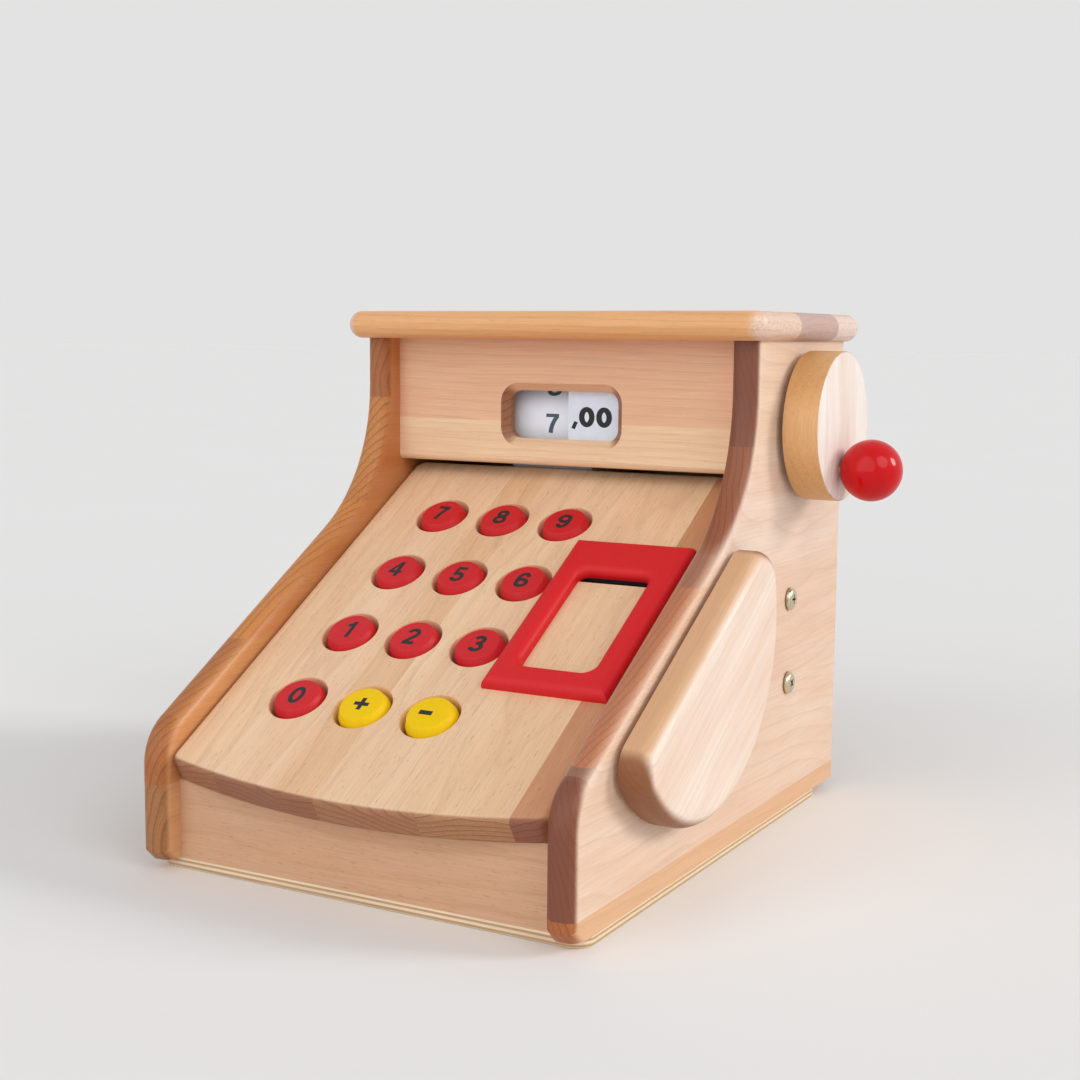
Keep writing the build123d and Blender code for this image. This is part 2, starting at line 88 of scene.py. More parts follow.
# inputs that a node has twice under one name, by their number
OLD_LOW, OLD_HIGH, NEW_LOW, NEW_HIGH = 1, 2, 3, 4
MIX_A, MIX_B = 6, 7

Colour = tuple[float, float, float, float]
Point = tuple[float, float]
Triple = tuple[float, float, float]
Feed = Union[bpy.types.Node, bpy.types.NodeSocket, float]


# --- Small tools -------------------------------------------------------------------------


def srgb(code: str) -> Colour:
    """Turn a written colour into linear light.

    Args:
        code: sRGB colour as "#RRGGBB".

    Returns:
        Linear red, green, blue and an alpha of 1.
    """
    values = [int(code[i : i + 2], 16) / 255.0 for i in (1, 3, 5)]
    linear = [v / 12.92 if v <= 0.04045 else ((v + 0.055) / 1.055) ** 2.4 for v in values]
    return (linear[0], linear[1], linear[2], 1.0)


def grey(value: float) -> Colour:
    """Linear grey of one value."""
    return (value, value, value, 1.0)


def add(
    tree: bpy.types.NodeTree,
    kind: str,
    inputs: Optional[Mapping[Union[int, str], object]] = None,
    **settings: object,
) -> bpy.types.Node:
    """Add a node with its settings, values and links.

    Args:
        tree: the shader or geometry tree.
        kind: the node's type name.
        inputs: socket name or number to a value, to the socket that feeds it, or to the node
            that feeds it from its first output in use.
        settings: the node's own properties.

    Returns:
        The new node.
    """
    node = tree.nodes.new(kind)
    for name, value in settings.items():
        setattr(node, name, value)
    for key, value in (inputs or {}).items():
        if isinstance(value, bpy.types.Node):
            value = next(socket for socket in value.outputs if socket.enabled)
        if isinstance(value, bpy.types.NodeSocket):
            tree.links.new(value, node.inputs[key])
        else:
            node.inputs[key].default_value = value
    return node


def fill_ramp(
    node: bpy.types.Node, stops: Sequence[tuple[float, Colour]], mode: str = "LINEAR"
) -> None:
    """Set a colour ramp's stops.

    Args:
        node: the colour ramp node.
        stops: position and linear colour of each stop, in order.
        mode: the ramp's interpolation.
    """
    ramp = node.color_ramp
    ramp.interpolation = mode
    while len(ramp.elements) > 1:
        ramp.elements.remove(ramp.elements[-1])
    ramp.elements[0].position, ramp.elements[0].color = stops[0]
    for position, colour in stops[1:]:
        ramp.elements.new(position).color = colour


def geometry_tree(
    name: str, kinds: Mapping[str, str]
) -> tuple[bpy.types.NodeTree, dict[str, str], bpy.types.Node]:
    """Start a geometry node tree with named inputs.

    Args:
        name: the tree's name.
        kinds: name of each input to its socket type.

    Returns:
        The tree, the identifier of each named input, and the node that gives them.
    """
    tree = bpy.data.node_groups.new(name, "GeometryNodeTree")
    tree.interface.new_socket("Geometry", in_out="INPUT", socket_type="NodeSocketGeometry")
    identifiers = {
        label: tree.interface.new_socket(label, in_out="INPUT", socket_type=kind).identifier
        for label, kind in kinds.items()
    }
    tree.interface.new_socket("Geometry", in_out="OUTPUT", socket_type="NodeSocketGeometry")
    return tree, identifiers, add(tree, "NodeGroupInput")


def grown(
    name: str, seeds: bpy.types.Mesh, tree: bpy.types.NodeTree, values: Mapping[str, object]
) -> bpy.types.Mesh:
    """Run a geometry node tree and keep its result as a plain mesh.

    Args:
        name: the mesh's name.
        seeds: the mesh that the tree starts from.
        tree: the geometry node tree.
        values: socket identifier to value.

    Returns:
        The resulting mesh.
    """
    holder = bpy.data.objects.new(name + "_seeds", seeds)
    bpy.context.scene.collection.objects.link(holder)
    modifier = holder.modifiers.new(name, "NODES")
    modifier.node_group = tree
    for identifier, value in values.items():
        modifier[identifier] = value
    bpy.context.view_layer.update()
    depsgraph = bpy.context.evaluated_depsgraph_get()
    mesh = bpy.data.meshes.new_from_object(holder.evaluated_get(depsgraph))
    mesh.name = name
    bpy.data.objects.remove(holder)
    return mesh


def slope_point(x: float, s: float, h: float) -> Vector:
    """Point in metres at x, s down the slope and h off the keyboard's surface, all in mm."""
    return SLOPE_ORIGIN + (Vector((x, 0.0, 0.0)) + DOWN * s + OFF * h) * MM


# --- Finishes ----------------------------------------------------------------------------


class Grain(Enum):
    """How a board lies: along its fibres, across its staves, and through its thickness."""

    SIDE = (Vector((0, 1, 0)), Vector((0, 0, 1)), Vector((1, 0, 0)))
    TOP = (Vector((1, 0, 0)), Vector((0, 1, 0)), Vector((0, 0, 1)))
    FRONT = (Vector((1, 0, 0)), Vector((0, 0, 1)), Vector((0, -1, 0)))
    SLOPING = (DOWN, Vector((1, 0, 0)), OFF)
    PADDLE = (DOWN, OFF, Vector((1, 0, 0)))
    UPRIGHT = (Vector((0, 0, 1)), Vector((0, 1, 0)), Vector((1, 0, 0)))


@dataclass(frozen=True)
class Finish(ABC):
    """A finish: a Principled material that reads the piece's own coordinates."""

    name: str

    def build(self) -> bpy.types.Material:
        """Make the material.

        Returns:
            The finished material.
        """
        material = bpy.data.materials.new(self.name)
        material.use_nodes = True
        tree = material.node_tree
        tree.nodes.clear()
        place = add(tree, "ShaderNodeTexCoord")
        shader = add(tree, "ShaderNodeBsdfPrincipled", self.surface(tree, place))
        add(tree, "ShaderNodeOutputMaterial", {0: shader})
        return material

    @abstractmethod
    def surface(self, tree: bpy.types.NodeTree, place: bpy.types.Node) -> dict[str, object]:
        """Lay the nodes that make the finish.

        Args:
            tree: the material's tree.
            place: its texture coordinates.

        Returns:
            Inputs of the Principled shader.
        """


@dataclass(frozen=True)
class VarnishedAlder(Finish):
    """Solid alder boards glued from staves, sanded smooth, under a thin satin varnish.

    The eye sees pale peach wood with soft, nearly straight growth lines 3 to 5 mm apart,
    fibres under 1 mm wide, a change of tone at each glue line, and end grain two or three
    steps darker and ribbed by the growth lines, because it drinks the varnish.

    Attributes:
        grain: how the board lies.
        span: where its first stave starts and its last one ends, in mm.
        glue_lines: where its staves meet, in mm.
        staves: tone of each stave.
        ends: tone of each stave's end grain.
        late: tone of the growth lines.
        end_amount: how fully end grain hides the stave's tone.
        line_amount: how strongly the growth lines show.
        ring: distance between growth lines in mm.
        spread: width in mm over which the staves' piths lie.
        end_from: place along the fibres in mm past which there is end grain.
        ribs: how strongly end grain is ribbed.
        flecks: how strongly dark flecks show.
        edge: tone of sawn edges, where it isn't the stave's.
        seed: number that picks the figure.
    """

    grain: Grain
    span: Point
    glue_lines: tuple[float, ...] = ()
    staves: tuple[str, ...] = ("#E3BC94",)
    ends: tuple[str, ...] = ("#A06A48",)
    late: str = "#B9805A"
    end_amount: float = 0.95
    line_amount: float = 0.3
    ring: float = 3.6
    spread: float = 170.0
    end_from: float = -10000.0
    ribs: float = 0.7
    flecks: float = 0.25
    # edge: tone of painted shade on the sawn edges, where it isn't the stave's.
    edge: Optional[str] = None
    seed: float = 0.0

    # tones that every board has
    streak_tone: ClassVar[str] = "#D8A27A"
    fleck_tone: ClassVar[str] = "#8C5634"
    pore_tone: ClassVar[str] = "#704028"
    rib_tone: ClassVar[str] = "#5E3320"
    # repeats in a millimetre along the fibres, across the staves and through the board:
    # growth lines wander over 150 by 45 mm, fibres are 30 by 0.7 mm, flecks 5 by 0.5 mm
    wander_scale: ClassVar[Triple] = (0.0065, 0.022, 0.022)
    fibre_scale: ClassVar[Triple] = (0.033, 1.4, 1.4)
    fleck_scale: ClassVar[Triple] = (0.19, 1.9, 1.9)
    # warmer streaks, 100 by 15 mm, as a finer run of the wander
    streak_scale: ClassVar[Triple] = (1.5, 3.0, 3.0)
    # pores about 1.4 mm across, coarser than real ones so that they show, in repeats in a metre
    pore_scale: ClassVar[float] = 700.0
    # how far a stave's figure is moved, so that no two are alike
    stave_shift: ClassVar[Triple] = (37.0, 53.0, 71.0)
    first_draw: ClassVar[float] = 0.37
    # the pith lies 24 to 69 mm under the surface, and growth lines wander by 11 mm and taper
    pith_depth: ClassVar[float] = 24.0
    pith_range: ClassVar[float] = 45.0
    wander_by: ClassVar[float] = 11.0
    taper: ClassVar[float] = 0.018
    # ribs in end grain about 1 mm apart, in radians for each millimetre
    rib_turn: ClassVar[float] = 5.8

    def surface(self, tree: bpy.types.NodeTree, place: bpy.types.Node) -> dict[str, object]:
        """Lay staves, growth lines, fibres, flecks, painted shade on sawn edges, and end grain.

        Args:
            tree: the material's tree.
            place: its texture coordinates.

        Returns:
            Inputs of the Principled shader.
        """
        # millimetres along the fibres, across the staves and through the board
        ways = [
            add(tree, "ShaderNodeVectorMath",
                {0: place.outputs["Object"], 1: tuple(way * TO_MM)}, operation="DOT_PRODUCT")
            for way in self.grain.value
        ]
        spot = add(tree, "ShaderNodeCombineXYZ", {0: ways[0], 1: ways[1], 2: ways[2]})
        index, middle = self.find_stave(tree, ways[1])
        tone, deep = self.stave_tones(tree, index)
        draw = add(tree, "ShaderNodeMath", {0: index, 1: self.seed + self.first_draw}, operation="ADD")
        chance = add(tree, "ShaderNodeTexWhiteNoise", {"W": draw}, noise_dimensions="1D")
        shift = add(tree, "ShaderNodeVectorMath",
                    {0: chance.outputs["Color"], 1: self.stave_shift}, operation="MULTIPLY")
        flow = add(tree, "ShaderNodeVectorMath", {0: spot, 1: self.wander_scale}, operation="MULTIPLY")
        flow = add(tree, "ShaderNodeVectorMath", {0: flow, 1: shift}, operation="ADD")
        radius = self.from_pith(tree, ways, middle, chance.outputs["Color"], flow)
        turn = add(tree, "ShaderNodeMath", {0: radius, 1: 1.0 / self.ring}, operation="MULTIPLY")
        turn = add(tree, "ShaderNodeMath", {0: turn}, operation="FRACT")
        # early wood swells slowly into late wood, which ends at once
        lines = add(tree, "ShaderNodeValToRGB", {0: turn})
        fill_ramp(lines, [(0.0, grey(0.25)), (0.06, grey(0.0)), (0.55, grey(0.08)),
                          (0.86, grey(0.45)), (0.95, grey(1.0)), (1.0, grey(0.25))])
        colour = self.face_colour(tree, spot, flow, tone, lines)
        along, across, _ = self.grain.value
        normal = place.outputs["Normal"]
        if self.edge:
            # painted shade on the sawn edge: the sides across the staves are darkened, as shade for the
            # sides that face away from the light
            sawn = add(tree, "ShaderNodeVectorMath", {0: normal, 1: tuple(across)},
                       operation="DOT_PRODUCT")
            sawn = add(tree, "ShaderNodeMath", {0: sawn}, operation="ABSOLUTE")
            sawn = add(tree, "ShaderNodeMapRange",
                       {0: sawn, OLD_LOW: 0.45, OLD_HIGH: 0.9, NEW_LOW: 0.0, NEW_HIGH: 0.8})
            colour = add(tree, "ShaderNodeMix", {0: sawn, MIX_A: colour, MIX_B: srgb(self.edge)},
                         data_type="RGBA")
        # end grain shows where the surface cuts the fibres
        cut = add(tree, "ShaderNodeVectorMath", {0: normal, 1: tuple(along)}, operation="DOT_PRODUCT")
        cut = add(tree, "ShaderNodeMath", {0: cut}, operation="ABSOLUTE")
        cut = add(tree, "ShaderNodeMapRange",
                  {0: cut, OLD_LOW: 0.14, OLD_HIGH: 0.62, NEW_LOW: 0.0, NEW_HIGH: self.end_amount},
                  interpolation_type="SMOOTHSTEP")
        past = add(tree, "ShaderNodeMath", {0: ways[0], 1: self.end_from}, operation="GREATER_THAN")
        cut = add(tree, "ShaderNodeMath", {0: cut, 1: past}, operation="MULTIPLY")
        dark = self.end_colour(tree, place.outputs["Object"], deep, radius, lines)
        colour = add(tree, "ShaderNodeMix", {0: cut, MIX_A: colour, MIX_B: dark}, data_type="RGBA")
        # fibres lighten and darken the wood and break up its sheen
        thread = add(tree, "ShaderNodeVectorMath", {0: spot, 1: self.fibre_scale}, operation="MULTIPLY")
        fibre = add(tree, "ShaderNodeTexNoise",
                    {"Vector": thread, "Scale": 1.0, "Detail": 3.0, "Roughness": 0.62})
        shade = add(tree, "ShaderNodeMapRange",
                    {0: fibre, OLD_LOW: 0.25, OLD_HIGH: 0.75, NEW_LOW: 0.88, NEW_HIGH: 1.08})
        return {
            "Base Color": add(tree, "ShaderNodeVectorMath", {0: colour, "Scale": shade},
                              operation="SCALE"),
            "Roughness": add(tree, "ShaderNodeMapRange",
                             {0: fibre, OLD_LOW: 0.3, OLD_HIGH: 0.7, NEW_LOW: 0.36, NEW_HIGH: 0.5}),
            "Normal": add(tree, "ShaderNodeBump",
                          {"Height": fibre, "Strength": 0.12, "Distance": 0.2 * MM}),
            "Specular IOR Level": 0.32,
            "Coat Weight": 0.08,
            "Coat Roughness": 0.2,
        }

    def find_stave(self, tree: bpy.types.NodeTree, across: Feed) -> tuple[Feed, Feed]:
        """Number the staves and find their middles.

        Args:
            tree: the material's tree.
            across: millimetres across the staves.

        Returns:
            The stave's number, from 0, and its middle in mm.
        """
        edges = (self.span[0], *self.glue_lines, self.span[1])
        middles = [(low + high) / 2 for low, high in zip(edges, edges[1:])]
        index: Feed = 0.0
        middle: Feed = middles[0]
        for line, near, far in zip(self.glue_lines, middles, middles[1:]):
            over = add(tree, "ShaderNodeMath", {0: across, 1: line}, operation="GREATER_THAN")
            index = add(tree, "ShaderNodeMath", {0: over, 1: index}, operation="ADD")
            middle = add(tree, "ShaderNodeMath", {0: over, 1: far - near, 2: middle},
                         operation="MULTIPLY_ADD")
        return index, middle

    def stave_tones(self, tree: bpy.types.NodeTree, index: Feed) -> list[bpy.types.Node]:
        """Give each stave its tones.

        Args:
            tree: the material's tree.
            index: the stave's number.

        Returns:
            The tone of its face and that of its end grain.
        """
        count = len(self.glue_lines) + 1
        position = add(tree, "ShaderNodeMath", {0: index, 1: 1.0 / count, 2: 0.5 / count},
                       operation="MULTIPLY_ADD")
        ramps = []
        for tones in (self.staves, self.ends):
            ramp = add(tree, "ShaderNodeValToRGB", {0: position})
            stops = [(i / count, srgb(tones[i % len(tones)])) for i in range(count)]
            fill_ramp(ramp, stops, "CONSTANT")
            ramps.append(ramp)
        return ramps

    def from_pith(
        self, tree: bpy.types.NodeTree, ways: Sequence[Feed], middle: Feed,
        chance: bpy.types.NodeSocket, flow: Feed,
    ) -> bpy.types.Node:
        """Measure the distance from the pith, which lies to one side of a stave and under it.

        Args:
            tree: the material's tree.
            ways: millimetres along the fibres, across the staves and through the board.
            middle: the stave's middle in mm.
            chance: the stave's random colour.
            flow: place in the wander of the growth lines.

        Returns:
            The distance in mm.
        """
        along, across, through = ways
        dice = add(tree, "ShaderNodeSeparateColor", {0: chance})
        wander = add(tree, "ShaderNodeTexNoise",
                     {"Vector": flow, "Scale": 1.0, "Detail": 2.5, "Roughness": 0.45})
        side = add(tree, "ShaderNodeMath", {0: across, 1: middle}, operation="SUBTRACT")
        side = add(tree, "ShaderNodeMath", {0: dice.outputs[0], 1: -self.spread, 2: side},
                   operation="MULTIPLY_ADD")
        side = add(tree, "ShaderNodeMath", {0: side, 1: self.spread / 2}, operation="ADD")
        under = add(tree, "ShaderNodeMath", {0: dice.outputs[1], 1: self.pith_range, 2: through},
                    operation="MULTIPLY_ADD")
        under = add(tree, "ShaderNodeMath", {0: under, 1: self.pith_depth}, operation="ADD")
        aside = add(tree, "ShaderNodeCombineXYZ", {0: side, 1: under})
        radius = add(tree, "ShaderNodeVectorMath", {0: aside}, operation="LENGTH")
        radius = add(tree, "ShaderNodeMath", {0: wander, 1: self.wander_by, 2: radius},
                     operation="MULTIPLY_ADD")
        return add(tree, "ShaderNodeMath", {0: along, 1: self.taper, 2: radius},
                   operation="MULTIPLY_ADD")

    def face_colour(
        self, tree: bpy.types.NodeTree, spot: Feed, flow: Feed, tone: Feed, lines: Feed
    ) -> bpy.types.Node:
        """Lay warm streaks, growth lines and dark flecks over the stave's tone.

        Args:
            tree: the material's tree.
            spot: millimetres along, across and through.
            flow: place in the wander of the growth lines.
            tone: the stave's tone.
            lines: how late the wood is, from 0 to 1.

        Returns:
            The colour of faces along the fibres.
        """
        cloud = add(tree, "ShaderNodeVectorMath", {0: flow, 1: self.streak_scale}, operation="MULTIPLY")
        patch = add(tree, "ShaderNodeTexNoise", {"Vector": cloud, "Scale": 1.0, "Detail": 2.0})
        warm = add(tree, "ShaderNodeMapRange",
                   {0: patch, OLD_LOW: 0.35, OLD_HIGH: 0.72, NEW_LOW: 0.0, NEW_HIGH: 0.34})
        colour = add(tree, "ShaderNodeMix", {0: warm, MIX_A: tone, MIX_B: srgb(self.streak_tone)},
                     data_type="RGBA")
        # growth lines are fainter in the streaks
        share = add(tree, "ShaderNodeMath", {0: lines, 1: self.line_amount}, operation="MULTIPLY")
        clear = add(tree, "ShaderNodeMapRange",
                    {0: patch, OLD_LOW: 0.3, OLD_HIGH: 0.75, NEW_LOW: 1.15, NEW_HIGH: 0.45})
        share = add(tree, "ShaderNodeMath", {0: share, 1: clear}, operation="MULTIPLY")
        colour = add(tree, "ShaderNodeMix", {0: share, MIX_A: colour, MIX_B: srgb(self.late)},
                     data_type="RGBA")
        dash = add(tree, "ShaderNodeVectorMath", {0: spot, 1: self.fleck_scale}, operation="MULTIPLY")
        fleck = add(tree, "ShaderNodeTexNoise", {"Vector": dash, "Scale": 1.0, "Detail": 1.0})
        fleck = add(tree, "ShaderNodeMapRange",
                    {0: fleck, OLD_LOW: 0.66, OLD_HIGH: 0.75, NEW_LOW: 0.0, NEW_HIGH: self.flecks})
        return add(tree, "ShaderNodeMix", {0: fleck, MIX_A: colour, MIX_B: srgb(self.fleck_tone)},
                   data_type="RGBA")

    def end_colour(
        self, tree: bpy.types.NodeTree, spot: Feed, deep: Feed, radius: Feed, lines: Feed
    ) -> bpy.types.Node:
        """Lay pores and ribs over the tone of the end grain.

        Args:
            tree: the material's tree.
            spot: place in metres.
            deep: the tone of the stave's end grain.
            radius: distance from the pith in mm.
            lines: how late the wood is, from 0 to 1.

        Returns:
            The colour of faces across the fibres.
        """
        pore = add(tree, "ShaderNodeTexNoise", {"Vector": spot, "Scale": self.pore_scale, "Detail": 2.0})
        pore = add(tree, "ShaderNodeMapRange",
                   {0: pore, OLD_LOW: 0.35, OLD_HIGH: 0.7, NEW_LOW: 0.0, NEW_HIGH: 0.22})
        dark = add(tree, "ShaderNodeMix", {0: pore, MIX_A: deep, MIX_B: srgb(self.pore_tone)},
                   data_type="RGBA")
        fine = add(tree, "ShaderNodeMath", {0: radius, 1: self.rib_turn}, operation="MULTIPLY")
        fine = add(tree, "ShaderNodeMath", {0: fine}, operation="SINE")
        fine = add(tree, "ShaderNodeMapRange",
                   {0: fine, OLD_LOW: -0.2, OLD_HIGH: 1.0, NEW_LOW: 0.0, NEW_HIGH: 0.35})
        rib = add(tree, "ShaderNodeMath", {0: lines, 1: fine}, operation="MAXIMUM")
        rib = add(tree, "ShaderNodeMath", {0: rib, 1: self.ribs}, operation="MULTIPLY")
        return add(tree, "ShaderNodeMix", {0: rib, MIX_A: dark, MIX_B: srgb(self.rib_tone)},
                   data_type="RGBA")


@dataclass(frozen=True)
class BirchPlywood(Finish):
    """Birch plywood: five plies in 6 mm, seen as pale and brown stripes round the edge.

    Attributes:
        through: the way through the sheet.
        start: where its first face lies along that way, in mm.
        thick: its thickness in mm.
        face: tone of the face veneers.
        cross: tone of the plies' cut ends.
    """

    through: Triple
    start: float
    thick: float = 6.0
    face: str = "#EDD8B8"
    cross: str = "#B9936C"

    # veneer figure 40 mm long and 1.5 mm wide, in repeats in a metre
    figure_scale: ClassVar[Triple] = (25.0, 650.0, 650.0)

    def surface(self, tree: bpy.types.NodeTree, place: bpy.types.Node) -> dict[str, object]:
        """Stack the plies along the sheet's thickness and lay the veneer's figure.

        Args:
            tree: the material's tree.
            place: its texture coordinates.

        Returns:
            Inputs of the Principled shader.
        """
        level = add(tree, "ShaderNodeVectorMath",
                    {0: place.outputs["Object"], 1: tuple(Vector(self.through) * TO_MM)},
                    operation="DOT_PRODUCT")
        level = add(tree, "ShaderNodeMapRange", {
            0: level, OLD_LOW: self.start, OLD_HIGH: self.start + self.thick, NEW_LOW: 0.0, NEW_HIGH: 1.0,
        })
        plies = add(tree, "ShaderNodeValToRGB", {0: level})
        fill_ramp(plies, [(0.0, grey(0.05)), (0.18, grey(0.05)), (0.2, grey(1.0)), (0.38, grey(0.8)),
                          (0.4, grey(0.1)), (0.6, grey(0.1)), (0.62, grey(0.9)), (0.8, grey(0.9)),
                          (0.82, grey(0.0)), (1.0, grey(0.0))])
        # the plies' stripes show only round the edge
        flat = add(tree, "ShaderNodeVectorMath", {0: place.outputs["Normal"], 1: self.through},
                   operation="DOT_PRODUCT")
        flat = add(tree, "ShaderNodeMath", {0: flat}, operation="ABSOLUTE")
        edge = add(tree, "ShaderNodeMapRange",
                   {0: flat, OLD_LOW: 0.95, OLD_HIGH: 0.6, NEW_LOW: 0.0, NEW_HIGH: 1.0})
        share = add(tree, "ShaderNodeMath", {0: plies, 1: edge}, operation="MULTIPLY")
        streak = add(tree, "ShaderNodeMapping",
                     {"Vector": place.outputs["Object"], "Scale": self.figure_scale})
        figure = add(tree, "ShaderNodeTexNoise",
                     {"Vector": streak, "Scale": 1.0, "Detail": 4.0, "Roughness": 0.6})
        colour = add(tree, "ShaderNodeMix",
                     {0: share, MIX_A: srgb(self.face), MIX_B: srgb(self.cross)}, data_type="RGBA")
        shade = add(tree, "ShaderNodeMapRange",
                    {0: figure, OLD_LOW: 0.3, OLD_HIGH: 0.7, NEW_LOW: 0.86, NEW_HIGH: 1.08})
        return {
            "Base Color": add(tree, "ShaderNodeVectorMath", {0: colour, "Scale": shade},
                              operation="SCALE"),
            "Roughness": add(tree, "ShaderNodeMapRange",
                             {0: figure, OLD_LOW: 0.3, OLD_HIGH: 0.7, NEW_LOW: 0.5, NEW_HIGH: 0.66}),
            "Normal": add(tree, "ShaderNodeBump",
                          {"Height": figure, "Strength": 0.2, "Distance": 0.2 * MM}),
            "IOR": 1.5,
        }


@dataclass(frozen=True)
class Lacquer(Finish):
    """Opaque nitro lacquer on turned or milled wood: the grain telegraphs through faintly.

    A satin one scatters the light and shows fine stipple, a gloss one has a clear coat.

    Attributes:
        colour: the lacquer's colour.
        worn: its colour where the grain shows through.
        rough: its roughness, from and to.
        coat: how strong its clear coat is.
        coat_rough: how rough that coat is.
        stipple: how strongly the spray's drops show.
        sheen: how strongly it reflects.
    """

    colour: str
    worn: str
    rough: Point = (0.42, 0.55)
    coat: float = 0.0
    coat_rough: float = 0.1
    stipple: float = 0.15
    sheen: float = 0.35

    # drops about 0.7 mm across and grain of 12 by 1 mm, in repeats in a metre
    drop_scale: ClassVar[float] = 1400.0
    grain_scale: ClassVar[Triple] = (900.0, 80.0, 80.0)

    def surface(self, tree: bpy.types.NodeTree, place: bpy.types.Node) -> dict[str, object]:
        """Lay spray stipple over the grain.

        Args:
            tree: the material's tree.
            place: its texture coordinates.

        Returns:
            Inputs of the Principled shader.
        """
        drops = add(tree, "ShaderNodeTexNoise",
                    {"Vector": place.outputs["Object"], "Scale": self.drop_scale, "Detail": 2.0})
        below = add(tree, "ShaderNodeMapping",
                    {"Vector": place.outputs["Object"], "Scale": self.grain_scale})
        grain = add(tree, "ShaderNodeTexNoise", {"Vector": below, "Scale": 1.0, "Detail": 2.0})
        share = add(tree, "ShaderNodeMapRange",
                    {0: grain, OLD_LOW: 0.4, OLD_HIGH: 0.75, NEW_LOW: 0.0, NEW_HIGH: 0.4})
        least, most = self.rough
        return {
            "Base Color": add(tree, "ShaderNodeMix",
                              {0: share, MIX_A: srgb(self.colour), MIX_B: srgb(self.worn)},
                              data_type="RGBA"),
            "Roughness": add(tree, "ShaderNodeMapRange",
                             {0: drops, OLD_LOW: 0.3, OLD_HIGH: 0.7, NEW_LOW: least, NEW_HIGH: most}),
            "Normal": add(tree, "ShaderNodeBump",
                          {"Height": drops, "Strength": self.stipple, "Distance": 0.2 * MM}),
            "Specular IOR Level": self.sheen,
            "Coat Weight": self.coat,
            "Coat Roughness": self.coat_rough,
        }


@dataclass(frozen=True)
class PlainFinish(Finish):
    """A material of one substance with a fine mottle: card, ink, plated steel or sponge, and the flat
    tones of painted shade and painted light.

    Attributes:
        colour: its first colour.
        second: the colour of its mottle.
        mottle: size of the mottle's patches in mm.
        rough: its roughness, from and to.
        metallic: 1 for metal.
        relief: how strongly the mottle is felt.
        crevice: how much painted shade lies in its hollows.
    """

    colour: str
    second: str
    mottle: float
    rough: Point
    metallic: float = 0.0
    relief: float = 0.0
    crevice: float = 0.0

    # painted shade in hollows: its tone, and how far in mm the occlusion reaches
    dirt_tone: ClassVar[str] = "#17130F"
    dirt_reach: ClassVar[float] = 2.0

    def surface(self, tree: bpy.types.NodeTree, place: bpy.types.Node) -> dict[str, object]:
        """Lay the mottle, and painted shade where the surface is hidden from the light.

        Args:
            tree: the material's tree.
            place: its texture coordinates.

        Returns:
            Inputs of the Principled shader.
        """
        cells = add(tree, "ShaderNodeTexNoise", {
            "Vector": place.outputs["Object"], "Scale": TO_MM / self.mottle, "Detail": 3.0,
        })
        share = add(tree, "ShaderNodeMapRange",
                    {0: cells, OLD_LOW: 0.35, OLD_HIGH: 0.7, NEW_LOW: 0.0, NEW_HIGH: 1.0})
        colour = add(tree, "ShaderNodeMix",
                     {0: share, MIX_A: srgb(self.colour), MIX_B: srgb(self.second)}, data_type="RGBA")
        # painted shade: the colour darkens where ambient occlusion finds the surface hidden
        hidden = add(tree, "ShaderNodeAmbientOcclusion", {"Distance": self.dirt_reach * MM}, samples=8)
        hollow_darkening = add(tree, "ShaderNodeMapRange", {
            0: hidden.outputs["AO"], OLD_LOW: 0.92, OLD_HIGH: 0.5, NEW_LOW: 0.0, NEW_HIGH: self.crevice,
        })
        least, most = self.rough
        return {
            "Base Color": add(tree, "ShaderNodeMix",
                              {0: hollow_darkening, MIX_A: colour, MIX_B: srgb(self.dirt_tone)}, data_type="RGBA"),
            "Roughness": add(tree, "ShaderNodeMapRange",
                             {0: cells, OLD_LOW: 0.3, OLD_HIGH: 0.7, NEW_LOW: least, NEW_HIGH: most}),
            "Normal": add(tree, "ShaderNodeBump",
                          {"Height": cells, "Strength": self.relief, "Distance": 0.3 * MM}),
            "Metallic": self.metallic,
        }


# --- Making and placing pieces -----------------------------------------------------------


def dress(node: str, material: bpy.types.Material) -> None:
    """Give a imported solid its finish.

    Args:
        node: the solid's name.
        material: the finish.
    """
    solid = frame["nodes"][node]
    solid.data.materials.clear()
    solid.data.materials.append(material)
    LOG.info("dressed %s", node)


def settle(
    name: str,
    mesh: bpy.types.Mesh,
    body: str,
    material: Optional[bpy.types.Material] = None,
    stands_for: Iterable[str] = (),
    smooth_angle: float = 32.0,
) -> bpy.types.Object:
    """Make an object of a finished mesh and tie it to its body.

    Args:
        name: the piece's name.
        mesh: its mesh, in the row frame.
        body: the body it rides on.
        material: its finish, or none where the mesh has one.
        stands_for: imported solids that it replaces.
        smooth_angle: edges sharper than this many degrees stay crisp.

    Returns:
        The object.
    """
    piece = bpy.data.objects.new(name, mesh)
    bpy.context.scene.collection.objects.link(piece)
    if material is not None:
        mesh.materials.clear()
        mesh.materials.append(material)
    mesh.shade_smooth()
    mesh.set_sharp_from_angle(angle=math.radians(smooth_angle))
    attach(piece, body)
    if stands_for:
        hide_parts(*stands_for)
    LOG.info("made %s: %d faces", name, len(mesh.polygons))
    return piece


ON_AXIS = 1e-6


